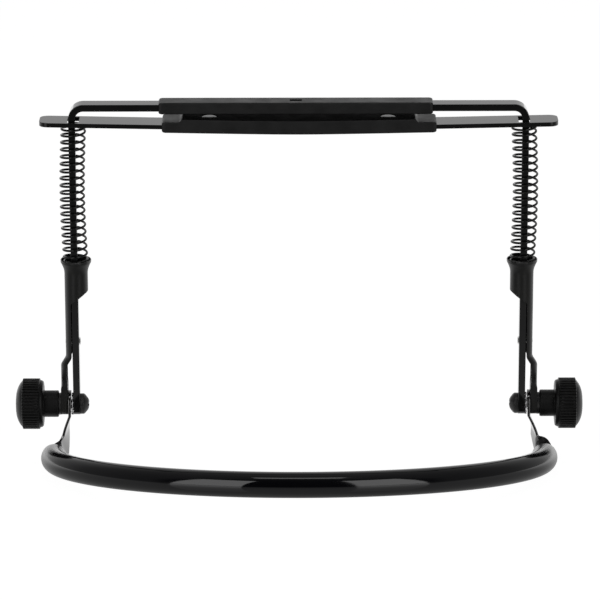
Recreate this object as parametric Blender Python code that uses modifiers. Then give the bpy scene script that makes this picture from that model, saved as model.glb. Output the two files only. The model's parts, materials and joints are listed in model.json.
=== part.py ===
"""Neck-worn harmonica holder.

A flat steel strip, bent to an upside-down U, carries the fixed jaw on its bar and two
springs on its legs. The springs push a slotted lower bar, the moving jaw, up the legs.
Each leg ends as the inner prong of a fork. The outer prong is a tube, flared into a cup
under the spring, cut open along its inner side, jogged outward and pressed flat. A round
yoke, flattened at both ends, hangs in the two forks and is locked by ribbed knobs.

Metres, +Z up, +X to the right, -Y towards the wearer. Everything is laid out from the
middle of the pivot axis. The empty at the end moves that layout so that the origin lies
where the yoke bears on the neck.
"""

import math

import bmesh
import bpy
from mathutils import Matrix, Vector

MM = 0.001

# Clearances
TOUCH = 0.3 * MM  # between pieces that rest on or run in each other
SNUG = 0.15 * MM  # between clamped washers, and round a tight rubber sleeve

# Flat strip of the clamp frame; its legs' place and its width drive most other sizes
STRIP_THICK = 2.92 * MM
STRIP_DEEP = 7.5 * MM
STRIP_CORNER = 0.3 * MM
LEG_X = 94.75 * MM  # middle of each leg
BAR_TOP_Z = 132.6 * MM
BEND_INNER = 2.3 * MM
LEG_INNER_X = LEG_X - STRIP_THICK / 2
LEG_OUTER_X = LEG_X + STRIP_THICK / 2

# Pivots
BOLT_D = 4.0 * MM
HOLE_PLAY = 0.4 * MM  # on the diameter
PRONG_END_R = 4.6 * MM
BOLT_HEAD_D = 8.8 * MM
BOLT_HEAD_THICK = 3.6 * MM
RECESS_LONG = 4.2 * MM
RECESS_WIDE = 1.0 * MM
RECESS_DEEP = 1.5 * MM

# Tube of the outer prong
TUBE_X = LEG_X - 0.55 * MM
TUBE_OD = STRIP_DEEP + 2.4 * MM
TUBE_WALL = 0.5 * MM
LIP_OD = TUBE_OD + 3.1 * MM
LIP_WALL = 0.4 * MM
LIP_Z = 64.5 * MM
LIP_TALL = 1.0 * MM
FLARE_TALL = 5.0 * MM
CUT_TOP_Z = 50.8 * MM  # where the cut-away leaves the tube's inner side
CUT_FOOT_Z = 44.6 * MM  # where it turns to run along the leg
CUT_LEAD = 1.2 * MM  # shallow start of the cut
CUT_LEAD_FALL = 0.7 * MM
CUT_TURN = 2.0 * MM  # round between its slope and the leg
FORK_Z = 22.3 * MM  # top of the outward jog
JOG = 2.2 * MM
JOG_TALL = 5.0 * MM
PRESSED_Z = 8.0 * MM  # top of the flat round the bolt
PRESSED_THICK = 2.85 * MM
PRESSING_TALL = 4.0 * MM
RIVET_Z = 28.1 * MM
RIVET_D = 2.0 * MM
RIVET_HEAD_D = 3.0 * MM
RIVET_HEAD_TALL = 0.6 * MM

# Toothed lock washer
TOOTHED_OD = 9.4 * MM
TOOTHED_DISC_D = 7.0 * MM
TOOTHED_THICK = 0.32 * MM
TOOTH_TWIST = 0.17 * MM
TEETH = 12

# Upper jaw
UPPER_PAD_LONG = 114.4 * MM
UPPER_PAD_X = -1.2 * MM
UPPER_PAD_TALL = 5.0 * MM
UPPER_PAD_DEEP = STRIP_DEEP + 1.6 * MM
PAD_EDGE = 0.5 * MM
SLIT_LONG = 5.0 * MM
SLIT_DEEP = 2.9 * MM
PRINT_DEEP = 0.1 * MM  # pressed into its underside by the closed lower jaw

# Lower jaw, measured before it is bowed; its middle is its lowest part
LOWER_BAR_LONG = 2 * LEG_X + 27.2 * MM
LOWER_BAR_DEEP = STRIP_DEEP + 5.0 * MM
LOWER_BAR_THICK = 1.85 * MM
LOWER_BAR_CORNER = 3.5 * MM
SLOT_INWARD = 1.5 * MM  # play beside the leg, towards the middle
SLOT_OUTWARD = 0.6 * MM
SLOT_DEEP_PLAY = 2.0 * MM
BOW = 1.85 * MM
BOW_ROUND = 15.0 * MM
LOWER_PAD_LONG = 114.5 * MM
LOWER_PAD_X = 0.2 * MM
LOWER_PAD_WALL = 1.35 * MM
LOWER_PAD_SIDE = 0.85 * MM
RISE_LONG = 94.0 * MM  # raised middle of the pad
RISE_SLOPE = 2.3 * MM
RISE_TALL = 1.3 * MM
JAW_GAP = 1.6 * MM  # left open at rest, where the raised middle ends
PAD_RIVET_X = 37.4 * MM
PAD_RIVET_D = 2.6 * MM
PAD_RIVET_HEAD_D = 6.6 * MM
PAD_RIVET_HEAD_TALL = 0.5 * MM
PAD_RIVET_SUNK = 0.1 * MM  # its head below the rubber's face

# Springs
SPRING_OD = LIP_OD - 2 * LIP_WALL - 1.3 * MM
WIRE_D = 1.0 * MM
TURNS = 20
END_PITCH = 1.6 * MM
CURL_POINTS = 9
SPRING_SIDEWAYS = 1.0 * MM  # how far its middle bends outward
SPRING_FOOT = 1.2 * MM  # lowest turn's middle below the lip

# Knobs
WASHER_D = 9.4 * MM
WASHER_THICK = 0.9 * MM
HUB_D = 11.4 * MM
HUB_LONG = 6.5 * MM
KNOB_D = 21.6 * MM
KNOB_SHOULDER_D = 20.2 * MM
KNOB_SHOULDER = 1.0 * MM
SHOULDER_IN = 0.9 * MM
RIB_BAND = 8.2 * MM
RIBS = 48
RIB_DEEP = 0.45 * MM
RIB_ROOT = 0.2 * MM  # from the foot of the ribs down to the body's rim
KNOB_DOME = 2.6 * MM
INSERT_D = 7.6 * MM
INSERT_LONG = 9.5 * MM

# Yoke
YOKE_HALF_WIDE = LEG_X + 9.6 * MM
YOKE_REACH = 85.6 * MM  # pivot axis to the middle of the bend, along the yoke's plane
YOKE_WIDEST = 13.0 * MM  # the same, to its widest place
YOKE_FULLNESS = 2.0
YOKE_TILT = math.radians(10.5)
YOKE_DROP = 22.0 * MM  # plane below the pivot axis
CORE_D = 7.8 * MM
LUG_THICK = 1.2 * MM
LUG_WIDE = 11.6 * MM
LUG_INNER_X = LEG_OUTER_X + 0.95 * MM
LUG_STRAIGHT = 5.4 * MM  # below the pivot axis
LUG_FOOT_Z = -13.0 * MM
CORE_INNER_X = LUG_INNER_X + 3.2 * MM
CORE_BEND_R = 8.0 * MM
CRIMP_TURN = {"left": math.radians(85), "right": math.radians(24)}  # of the bend, until round
SLEEVE_OD = 11.0 * MM
SLEEVE_BORE = 8.6 * MM
SLEEVE_START = 11.5 * MM
YOKE_STEPS = 44
BEND_STEPS = 10

# Colours, roughness and metallic values
BLACK_PAINT = ("black_paint", (0.012, 0.012, 0.013), 0.32, 0.0)
GLOSS_BLACK = ("gloss_black_strip", (0.010, 0.010, 0.011), 0.16, 0.0)
SPRING_STEEL = ("blackened_spring_wire", (0.022, 0.021, 0.020), 0.38, 0.6)
DARK_STEEL = ("dark_zinc_steel", (0.06, 0.06, 0.065), 0.35, 0.9)
BRASS = ("brass", (0.62, 0.45, 0.18), 0.35, 1.0)
RUBBER = ("black_rubber", (0.030, 0.030, 0.031), 0.62, 0.0)
VINYL = ("gloss_black_vinyl", (0.008, 0.008, 0.010), 0.10, 0.0)
PLASTIC = ("matt_black_plastic", (0.020, 0.020, 0.021), 0.55, 0.0)

SIDES = (("left", -1), ("right", 1))

for old in list(bpy.data.objects):
    bpy.data.objects.remove(old, do_unlink=True)

parts = bpy.data.collections.new("harmonica_holder")
cutters = bpy.data.collections.new("cutters")
cutters.hide_render = True
bpy.context.scene.collection.children.link(parts)
bpy.context.scene.collection.children.link(cutters)


def material(kind):
    name, colour, roughness, metallic = kind
    found = bpy.data.materials.get(name)
    if found:
        return found
    made = bpy.data.materials.new(name)
    made.use_nodes = True
    shader = made.node_tree.nodes["Principled BSDF"]
    shader.inputs["Base Color"].default_value = (*colour, 1)
    shader.inputs["Roughness"].default_value = roughness
    shader.inputs["Metallic"].default_value = metallic
    made.diffuse_color = (*colour, 1)
    return made


def object_of(name, data, collection=parts):
    made = bpy.data.objects.new(name, data)
    collection.objects.link(made)
    if collection is cutters:
        made.hide_render = True
        made.display_type = "WIRE"
    return made


def finish(obj, kind, smooth=35):
    """Gives a part its own copy of the material and smooth round faces."""
    own = material(kind).copy()
    own.name = obj.name + "_finish"
    obj.data.materials.clear()
    obj.data.materials.append(own)
    if obj.type == "MESH":
        obj.data.shade_smooth()
        obj.data.set_sharp_from_angle(angle=math.radians(smooth))
    return obj


def applied(obj):
    """Turns an object, curve or mesh with modifiers, into a plain mesh object in place."""
    bpy.context.view_layer.update()
    graph = bpy.context.evaluated_depsgraph_get()
    mesh = bpy.data.meshes.new_from_object(obj.evaluated_get(graph))
    name, place = obj.name, obj.matrix_world.copy()
    collection = obj.users_collection[0]
    bpy.data.objects.remove(obj, do_unlink=True)
    weld = bmesh.new()
    weld.from_mesh(mesh)
    bmesh.ops.remove_doubles(weld, verts=weld.verts, dist=0.00001)
    weld.transform(place)
    bmesh.ops.recalc_face_normals(weld, faces=weld.faces)
    weld.to_mesh(mesh)
    weld.free()
    return object_of(name, mesh, collection)


def cut(obj, *tools, operation="DIFFERENCE"):
    for tool in tools:
        boolean = obj.modifiers.new(tool.name, "BOOLEAN")
        boolean.operation = operation
        boolean.object = tool
    return obj


def mesh_object(name, builder, collection=parts):
    """Makes an object from a function that fills a bmesh."""
    shape = bmesh.new()
    builder(shape)
    bmesh.ops.recalc_face_normals(shape, faces=shape.faces)
    mesh = bpy.data.meshes.new(name)
    shape.to_mesh(mesh)
    shape.free()
    return object_of(name, mesh, collection)


def block(name, low, high, collection=parts):
    size = Vector(high) - Vector(low)
    middle = (Vector(high) + Vector(low)) / 2

    def build(shape):
        place = Matrix.Translation(middle) @ Matrix.Diagonal((*size, 1))
        bmesh.ops.create_cube(shape, size=1, matrix=place)

    return mesh_object(name, build, collection)


def rod_along_x(name, x0, x1, radius, z=0.0, sides=24, collection=cutters):
    def build(shape):
        turn = Matrix.Rotation(math.pi / 2, 4, "Y")
        place = Matrix.Translation(((x0 + x1) / 2, 0, z)) @ turn
        bmesh.ops.create_cone(shape, cap_ends=True, segments=sides, radius1=radius,
                              radius2=radius, depth=abs(x1 - x0), matrix=place)

    return mesh_object(name, build, collection)


def turned(name, profile, place, steps=24, collection=parts):
    """Revolves a closed profile of (radius, height), outer side first from top to bottom."""
    mesh = bpy.data.meshes.new(name)
    edges = [(i, (i + 1) % len(profile)) for i in range(len(profile))]
    if min(radius for radius, _ in profile) < 1e-9:
        edges.pop()
    mesh.from_pydata([(radius, 0, height) for radius, height in profile], edges, [])
    made = object_of(name, mesh, collection)
    made.matrix_world = place
    screw = made.modifiers.new("turn", "SCREW")
    screw.steps = screw.render_steps = steps
    screw.use_merge_vertices = True
    screw.merge_threshold = 0.00001
    return applied(made)


def outline(name, loops, thick, place, collection=parts):
    """A flat plate with the given closed outlines, the first one outside."""
    curve = bpy.data.curves.new(name, "CURVE")
    curve.dimensions = "2D"
    curve.fill_mode = "BOTH"
    curve.extrude = thick / 2
    for points in loops:
        spline = curve.splines.new("POLY")
        spline.points.add(len(points) - 1)
        for target, (x, y) in zip(spline.points, points):
            target.co = (x, y, 0, 1)
        spline.use_cyclic_u = True
    made = object_of(name, curve, collection)
    made.matrix_world = place
    return applied(made)


def wire(name, points, radius, resolution, collection=parts):
    curve = bpy.data.curves.new(name, "CURVE")
    curve.dimensions = "3D"
    curve.bevel_depth = radius
    curve.bevel_resolution = resolution
    curve.use_fill_caps = True
    spline = curve.splines.new("POLY")
    spline.points.add(len(points) - 1)
    for target, point in zip(spline.points, points):
        target.co = (*point, 1)
    return object_of(name, curve, collection)


def smooth_step(value):
    value = min(max(value, 0.0), 1.0)
    return value * value * (3 - 2 * value)


def rounded_rectangle(wide, tall, corner, steps=3):
    points = []
    for quarter, (sx, sy) in enumerate(((1, 1), (-1, 1), (-1, -1), (1, -1))):
        centre = Vector((sx * (wide / 2 - corner), sy * (tall / 2 - corner)))
        for step in range(steps + 1):
            angle = math.pi / 2 * (quarter + step / steps)
            points.append(centre + corner * Vector((math.cos(angle), math.sin(angle))))
    return [tuple(point) for point in points]


def circle(diameter, sides):
    turn = 2 * math.pi / sides
    return [(diameter / 2 * math.cos(turn * i), diameter / 2 * math.sin(turn * i)) for i in range(sides)]


# Places along X that the whole pivot stack shares, from the middle outward
CUT_X = LEG_OUTER_X + TOUCH
PRONG_OUTER_X = TUBE_X + TUBE_OD / 2 + JOG
PRONG_INNER_X = PRONG_OUTER_X - PRESSED_THICK
WASHER_X = PRONG_OUTER_X + SNUG
HUB_X = WASHER_X + WASHER_THICK + SNUG
BAND_X = HUB_X + HUB_LONG + KNOB_SHOULDER
DOME_X = BAND_X + RIB_BAND
KNOB_END_X = DOME_X + KNOB_DOME
HOLE_D = BOLT_D + HOLE_PLAY

# Heights of the jaws
BAR_MIDDLE_Z = BAR_TOP_Z - STRIP_THICK / 2
JAW_Z = BAR_MIDDLE_Z - UPPER_PAD_TALL / 2


def bow(x):
    """How much higher the lower jaw is at x than in its middle."""
    half = LOWER_BAR_LONG / 2
    rise = math.hypot(x, BOW_ROUND) - BOW_ROUND
    return BOW * rise / (math.hypot(half, BOW_ROUND) - BOW_ROUND)


# The lower jaw hangs at rest with its pad a small gap under the upper one
LOWER_BAR_Z = JAW_Z - JAW_GAP - bow(RISE_LONG / 2) - RISE_TALL - LOWER_PAD_WALL - LOWER_BAR_THICK
RISE_FOOT_X = RISE_LONG / 2 + RISE_SLOPE
PAD_FACE_Z = LOWER_BAR_Z + LOWER_BAR_THICK + LOWER_PAD_WALL + RISE_TALL + bow(PAD_RIVET_X)


def prong_end_cutter():
    """Everything under the pivot axis that lies outside the prongs' round end."""
    reach = PRONG_OUTER_X + MM
    half, deep = 2 * TUBE_OD, 3 * PRONG_END_R
    low = block("prong_end_cut", (-reach, -half, -deep), (reach, half, 0), cutters)
    keep = rod_along_x("prong_end_keep", -reach - MM, reach + MM, PRONG_END_R, sides=32)
    made = applied(cut(low, keep))
    made.hide_render = True
    bpy.data.objects.remove(keep, do_unlink=True)
    return made


def clamp_frame(pivot_holes, rivet_holes, end_cut):
    """One strip: bar, two bends, and two legs that end as the forks' inner prongs."""
    centre_r = BEND_INNER + STRIP_THICK / 2
    corner = Vector((LEG_X - centre_r, BAR_MIDDLE_Z - centre_r))
    bend = [corner + centre_r * Vector((math.cos(a), math.sin(a)))
            for a in (math.pi / 2 * step / 6 for step in range(7))]
    half = [Vector((LEG_X, -2 * PRONG_END_R))] + bend
    path = half + [Vector((-point.x, point.y)) for point in reversed(half)]

    section = bpy.data.curves.new("strip_section", "CURVE")
    section.dimensions = "2D"
    ring = section.splines.new("POLY")
    points = rounded_rectangle(STRIP_THICK, STRIP_DEEP, STRIP_CORNER)
    ring.points.add(len(points) - 1)
    for target, (x, y) in zip(ring.points, points):
        target.co = (x, y, 0, 1)
    ring.use_cyclic_u = True
    section_object = object_of("strip_section", section, cutters)

    curve = bpy.data.curves.new("clamp_frame", "CURVE")
    curve.dimensions = "2D"
    curve.bevel_mode = "OBJECT"
    curve.bevel_object = section_object
    curve.use_fill_caps = True
    spline = curve.splines.new("POLY")
    spline.points.add(len(path) - 1)
    for target, point in zip(spline.points, path):
        target.co = (point.x, point.y, 0, 1)
    made = object_of("clamp_frame", curve)
    made.matrix_world = Matrix.Rotation(math.pi / 2, 4, "X")
    made = applied(made)
    bpy.data.objects.remove(section_object, do_unlink=True)
    return finish(cut(made, *pivot_holes, *rivet_holes, end_cut), GLOSS_BLACK)


def prong_levels():
    """Heights at which the outer prong has a ring of points, top to bottom."""
    jog = [FORK_Z - JOG_TALL * i / 6 for i in range(7)]
    pressing = [PRESSED_Z + PRESSING_TALL * (1 - i / 4) for i in range(5)]
    foot = [-PRONG_END_R - MM]
    return jog + pressing + foot


def cut_away(name, levels):
    """Cutter for the tube's inner side: a slope that turns down beside the leg."""
    inner_x = TUBE_X - TUBE_OD / 2
    clear_x, clear_z = inner_x - 2 * MM, levels[-1] - 2 * MM
    edge = [Vector((clear_x, CUT_TOP_Z + CUT_LEAD_FALL)), Vector((inner_x, CUT_TOP_Z))]
    edge.append(Vector((inner_x + CUT_LEAD, CUT_TOP_Z - CUT_LEAD_FALL)))
    for across, up in ((0.6, 1), (0.175, 0.45), (0, 0)):
        edge.append(Vector((CUT_X - CUT_TURN * across, CUT_FOOT_Z + CUT_TURN * up)))
    edge += [Vector((CUT_X, level)) for level in levels]
    edge += [Vector((CUT_X, clear_z)), Vector((clear_x, clear_z))]
    place = Matrix.Rotation(math.pi / 2, 4, "X")
    return outline(name, [[tuple(point) for point in edge]], 3 * TUBE_OD, place, cutters)


def press_prong(obj):
    """Jogs the tube's lower half outward, and presses it flat round the bolt."""
    middle_r = (TUBE_OD - TUBE_WALL) / 2
    for vertex in obj.data.vertices:
        x, y, z = vertex.co
        if z > FORK_Z + 0.1 * MM:
            continue
        outer_skin = math.hypot(x - TUBE_X, y) > middle_r
        x += JOG * smooth_step((FORK_Z - z) / JOG_TALL)
        flat = PRONG_OUTER_X if outer_skin else PRONG_INNER_X
        x += (flat - x) * smooth_step((PRESSED_Z + PRESSING_TALL - z) / PRESSING_TALL)
        vertex.co.x = x


def arm_tube(side, sign, pivot_hole, rivet_hole, end_cut):
    """Flared cup, tube, cut-away and pressed prong, made on the right and mirrored."""
    outer_r, lip_r = TUBE_OD / 2, LIP_OD / 2
    levels = prong_levels()
    outer = [(lip_r, LIP_Z, LIP_WALL)]
    for share in (0, 0.2, 0.45, 0.7, 1):
        radius = outer_r + (lip_r - outer_r) * (1 - math.sin(math.pi / 2 * share))
        wall = LIP_WALL + (TUBE_WALL - LIP_WALL) * share
        outer.append((radius, LIP_Z - LIP_TALL - FLARE_TALL * share, wall))
    outer += [(outer_r, z, TUBE_WALL) for z in levels]
    profile = [(radius, z) for radius, z, _ in outer]
    profile += [(radius - wall, z) for radius, z, wall in reversed(outer)]
    place = Matrix.Translation((TUBE_X, 0, 0))
    tube = turned("arm_tube_" + side, profile, place)
    away = cut_away("cut_away_" + side, levels)
    tube = applied(cut(tube, away))
    bpy.data.objects.remove(away, do_unlink=True)
    press_prong(tube)
    if sign < 0:
        turn_over(tube)
    return finish(cut(tube, pivot_hole, rivet_hole, end_cut), BLACK_PAINT)


def turn_over(obj):
    """Mirrors a mesh object in X and keeps its faces pointing out."""
    shape = bmesh.new()
    shape.from_mesh(obj.data)
    shape.transform(Matrix.Diagonal((-1, 1, 1, 1)))
    bmesh.ops.reverse_faces(shape, faces=shape.faces)
    shape.to_mesh(obj.data)
    shape.free()


def arm_rivet(side, sign):
    """Holds the tube's open side on the leg: domed head inside, flush end outside."""
    head, tall, shank = RIVET_HEAD_D / 2, RIVET_HEAD_TALL, RIVET_D / 2
    length = TUBE_X + TUBE_OD / 2 - LEG_INNER_X + SNUG
    profile = [(0, tall), (head * 0.6, tall * 0.8), (head * 0.92, tall * 0.4), (head, 0)]
    profile += [(shank, 0), (shank, -length), (0, -length)]
    turn = Matrix.Rotation(-sign * math.pi / 2, 4, "Y")
    place = Matrix.Translation((sign * (LEG_INNER_X - SNUG), 0, RIVET_Z)) @ turn
    return finish(turned("arm_rivet_" + side, profile, place, 16), DARK_STEEL)


def pivot_bolt(side, sign):
    """Pan head with a cross recess on the inner side, shank out into the knob."""
    head, shank, thick = BOLT_HEAD_D / 2, BOLT_D / 2, BOLT_HEAD_THICK
    face_x = LEG_INNER_X - SNUG
    length = HUB_X + INSERT_LONG - face_x
    profile = [(0, thick), (head * 0.45, thick * 0.95), (head * 0.78, thick * 0.74)]
    profile += [(head * 0.96, thick * 0.42), (head, thick * 0.2), (head, 0)]
    profile += [(shank, 0), (shank, -length), (0, -length)]
    turn = Matrix.Rotation(-sign * math.pi / 2, 4, "Y")
    place = Matrix.Translation((sign * face_x, 0, 0)) @ turn
    bolt = turned("pivot_bolt_" + side, profile, place, 24)
    reach, width = RECESS_LONG / 2, RECESS_WIDE / 2
    tip = sign * (face_x - thick)
    low_x, high_x = sorted((tip - sign * MM, tip + sign * RECESS_DEEP))
    bars = [block(f"recess_{i}_{side}", (low_x, -a, -b), (high_x, a, b), cutters)
            for i, (a, b) in enumerate(((reach, width), (width, reach)))]
    return finish(cut(bolt, *bars), DARK_STEEL)


def toothed_washer(side, sign):
    """Lock washer between the inner prong and the yoke's lug, its teeth twisted."""
    points = []
    tooth = 2 * math.pi / TEETH
    disc, reach = TOOTHED_DISC_D / 2, TOOTHED_OD / 2
    for i in range(TEETH):
        for radius, share in ((disc, 0.05), (reach, 0.18), (reach, 0.62), (disc, 0.75)):
            angle = tooth * (i + share)
            points.append((radius * math.cos(angle), radius * math.sin(angle)))
    x = (LEG_OUTER_X + LUG_INNER_X) / 2
    turn = Matrix.Rotation(math.pi / 2, 4, "Y")
    loops = [points, circle(HOLE_D, 16)]
    washer = outline("toothed_washer_" + side, loops, TOOTHED_THICK, turn)
    for vertex in washer.data.vertices:
        if math.hypot(vertex.co.y, vertex.co.z) > (disc + reach) / 2:
            share = math.atan2(vertex.co.y, -vertex.co.z) / tooth % 1
            vertex.co.x += TOOTH_TWIST if share < 0.4 else -TOOTH_TWIST
        vertex.co.x = sign * x + vertex.co.x
    return finish(washer, DARK_STEEL, 20)


def thrust_washer(side, sign):
    """Plain washer between the outer prong and the knob."""
    x = sign * (WASHER_X + WASHER_THICK / 2)
    place = Matrix.Translation((x, 0, 0)) @ Matrix.Rotation(math.pi / 2, 4, "Y")
    loops = [circle(WASHER_D, 28), circle(HOLE_D, 16)]
    return finish(outline("thrust_washer_" + side, loops, WASHER_THICK, place), DARK_STEEL)


def knob(side, sign):
    """Turned body with a long hub, and a band of ribs round its rim."""
    rim, shoulder, hub = KNOB_D / 2 - RIB_DEEP - RIB_ROOT, KNOB_SHOULDER_D / 2, HUB_D / 2
    socket = INSERT_D / 2 + TOUCH
    deep = INSERT_LONG + TOUCH
    neck = BAND_X - KNOB_SHOULDER
    profile = [(shoulder * across, DOME_X + KNOB_DOME * out)
               for across, out in ((0, 1), (0.38, 0.97), (0.6, 0.84), (0.8, 0.54), (0.94, 0.22), (1, 0))]
    profile += [(rim, DOME_X - 0.1 * MM), (rim, BAND_X + 0.1 * MM), (shoulder, BAND_X)]
    profile += [(shoulder - SHOULDER_IN, neck), (hub, neck)]
    profile += [(hub, HUB_X + 0.5 * MM), (hub - 0.5 * MM, HUB_X)]
    profile += [(socket, HUB_X), (socket, HUB_X + deep), (0, HUB_X + deep)]
    turn = Matrix.Rotation(sign * math.pi / 2, 4, "Y")
    body = turned("knob_" + side, profile, turn, 32)
    ring = []
    for i in range(RIBS):
        for radius, share in ((KNOB_D / 2, 0), (KNOB_D / 2, 0.5), (KNOB_D / 2 - RIB_DEEP, 0.75)):
            angle = 2 * math.pi * (i + share) / RIBS
            ring.append((radius * math.cos(angle), radius * math.sin(angle)))
    place = turn @ Matrix.Translation((0, 0, (BAND_X + DOME_X) / 2))
    inner = circle(KNOB_D - 4 * MM, 24)
    band = outline("knob_ribs_" + side, [ring, inner], RIB_BAND, place, cutters)
    return finish(cut(body, band, operation="UNION"), PLASTIC)


def knob_insert(side, sign):
    """Brass bush that carries the thread inside the knob's hub."""
    outer, bore = INSERT_D / 2, BOLT_D / 2 + SNUG
    groove = outer - 0.5 * MM
    start, end = HUB_X + SNUG, HUB_X + INSERT_LONG
    third = (end - start) / 3
    profile = [(outer, end), (outer, end - third), (groove, end - third), (groove, start + third),
               (outer, start + third), (outer, start), (bore, start), (bore, end)]
    turn = Matrix.Rotation(sign * math.pi / 2, 4, "Y")
    return finish(turned("knob_insert_" + side, profile, turn, 20), BRASS)


def upper_pad_sleeve():
    """Rubber sleeve round the bar, with a small window in its top.

    The closed lower jaw has left a shallow print in its underside; the two ends stay flat.
    """
    low = (UPPER_PAD_X - UPPER_PAD_LONG / 2, -UPPER_PAD_DEEP / 2, JAW_Z)
    high = (UPPER_PAD_X + UPPER_PAD_LONG / 2, UPPER_PAD_DEEP / 2, JAW_Z + UPPER_PAD_TALL)
    made = block("upper_pad_sleeve", low, high)
    edge = made.modifiers.new("round edges", "BEVEL")
    edge.width = PAD_EDGE
    edge.segments = 2
    reach = UPPER_PAD_LONG
    half_deep, half_tall = STRIP_DEEP / 2 + SNUG, STRIP_THICK / 2 + SNUG
    bore = block("upper_pad_bore", (-reach, -half_deep, BAR_MIDDLE_Z - half_tall),
                 (reach, half_deep, BAR_MIDDLE_Z + half_tall), cutters)
    window = block("upper_pad_window", (UPPER_PAD_X - SLIT_LONG / 2, -SLIT_DEEP / 2, BAR_MIDDLE_Z),
                   (UPPER_PAD_X + SLIT_LONG / 2, SLIT_DEEP / 2, JAW_Z + 2 * UPPER_PAD_TALL), cutters)
    pressed = block("upper_pad_print", (-RISE_FOOT_X, -UPPER_PAD_DEEP, JAW_Z - UPPER_PAD_TALL),
                    (RISE_FOOT_X, UPPER_PAD_DEEP, JAW_Z + PRINT_DEEP), cutters)
    return finish(cut(made, bore, window, pressed), RUBBER)


def cross_cut(obj, stations, axis):
    """Gives a mesh an edge loop across the axis at each station along it."""
    shape = bmesh.new()
    shape.from_mesh(obj.data)
    for station in stations:
        everything = shape.verts[:] + shape.edges[:] + shape.faces[:]
        place = Vector(axis) * station
        bmesh.ops.bisect_plane(shape, geom=everything, dist=1e-7, plane_co=place, plane_no=axis)
    shape.to_mesh(obj.data)
    shape.free()
    return obj


def bow_mesh(obj, stations):
    """Cuts a straight mesh across at the stations and lifts it towards its ends."""
    cross_cut(obj, stations, (1, 0, 0))
    for vertex in obj.data.vertices:
        vertex.co.z += bow(vertex.co.x)
    return obj


def bow_stations(half, count):
    return [half * (2 * i / count - 1) for i in range(1, count)]


def pad_rivet(side, sign):
    """Flat head sunk in the pad's face, shank down through the lower bar."""
    head, shank = PAD_RIVET_HEAD_D / 2, PAD_RIVET_D / 2
    top = PAD_FACE_Z - PAD_RIVET_SUNK
    under = top - PAD_RIVET_HEAD_TALL
    end = LOWER_BAR_Z + bow(PAD_RIVET_X) + SNUG
    profile = [(0, top), (head * 0.8, top - 0.05 * MM), (head, top - 0.2 * MM), (head, under)]
    profile += [(shank, under), (shank, end), (0, end)]
    place = Matrix.Translation((sign * PAD_RIVET_X, 0, 0))
    return finish(turned("pad_rivet_" + side, profile, place), DARK_STEEL)


def pad_rivet_hole(side, sign):
    """Cutter for the rivet's hole, widened in the pad's face to take its head."""
    head, shank = PAD_RIVET_HEAD_D / 2 + SNUG, PAD_RIVET_D / 2 + SNUG
    seat = PAD_FACE_Z - PAD_RIVET_SUNK - PAD_RIVET_HEAD_TALL - SNUG
    top, end = PAD_FACE_Z + MM, LOWER_BAR_Z
    profile = [(0, top), (head, top), (head, seat), (shank, seat), (shank, end), (0, end)]
    place = Matrix.Translation((sign * PAD_RIVET_X, 0, 0))
    made = turned("pad_rivet_hole_" + side, profile, place, collection=cutters)
    made.hide_render = True
    return made


def lower_clamp_bar(rivet_holes):
    """Flat bar with rounded corners and a slot for each leg."""
    plate = rounded_rectangle(LOWER_BAR_LONG, LOWER_BAR_DEEP, LOWER_BAR_CORNER, 5)
    inner, outer = LEG_INNER_X - SLOT_INWARD, LEG_OUTER_X + SLOT_OUTWARD
    half = (STRIP_DEEP + SLOT_DEEP_PLAY) / 2
    slots = [[(sign * x, y) for x, y in ((inner, -half), (outer, -half), (outer, half), (inner, half))]
             for _, sign in SIDES]
    place = Matrix.Translation((0, 0, LOWER_BAR_Z + LOWER_BAR_THICK / 2))
    made = outline("lower_clamp_bar", [plate, *slots], LOWER_BAR_THICK, place)
    bowed = bow_mesh(made, bow_stations(LOWER_BAR_LONG / 2 - LOWER_BAR_CORNER, 18))
    return finish(cut(bowed, *rivet_holes), GLOSS_BLACK)


def lower_pad_sleeve(rivet_holes):
    """Rubber sleeve round the lower bar, with a raised middle that faces the upper jaw."""
    half_deep = LOWER_BAR_DEEP / 2 + LOWER_PAD_SIDE
    bottom = LOWER_BAR_Z - LOWER_PAD_WALL
    step = LOWER_BAR_Z + LOWER_BAR_THICK + LOWER_PAD_WALL
    made = block("lower_pad_sleeve", (LOWER_PAD_X - LOWER_PAD_LONG / 2, -half_deep, bottom),
                 (LOWER_PAD_X + LOWER_PAD_LONG / 2, half_deep, step))
    shape = bmesh.new()
    shape.from_mesh(made.data)
    corners = [edge for edge in shape.edges
               if abs((edge.verts[0].co - edge.verts[1].co).y) < 1e-6
               and (edge.verts[0].co.z + edge.verts[1].co.z) / 2 < step - 1e-6]
    bmesh.ops.bevel(shape, geom=corners, offset=PAD_EDGE, segments=2, affect="EDGES", profile=0.5)
    shape.to_mesh(made.data)
    shape.free()
    flat = RISE_LONG / 2
    cross_cut(made, (-RISE_FOOT_X, -flat, flat, RISE_FOOT_X), (1, 0, 0))
    for vertex in made.data.vertices:
        if vertex.co.z > step - 1e-6 and abs(vertex.co.x) < flat + 1e-6:
            vertex.co.z += RISE_TALL
    bore_half = LOWER_BAR_DEEP / 2 + SNUG
    bore = block("lower_pad_bore", (-LOWER_PAD_LONG, -bore_half, LOWER_BAR_Z - SNUG),
                 (LOWER_PAD_LONG, bore_half, LOWER_BAR_Z + LOWER_BAR_THICK + SNUG), cutters)
    made = applied(cut(made, bore))
    bowed = bow_mesh(made, bow_stations(LOWER_PAD_LONG / 2 + 4 * MM, 12))
    return finish(cut(bowed, *rivet_holes), RUBBER)


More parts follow.
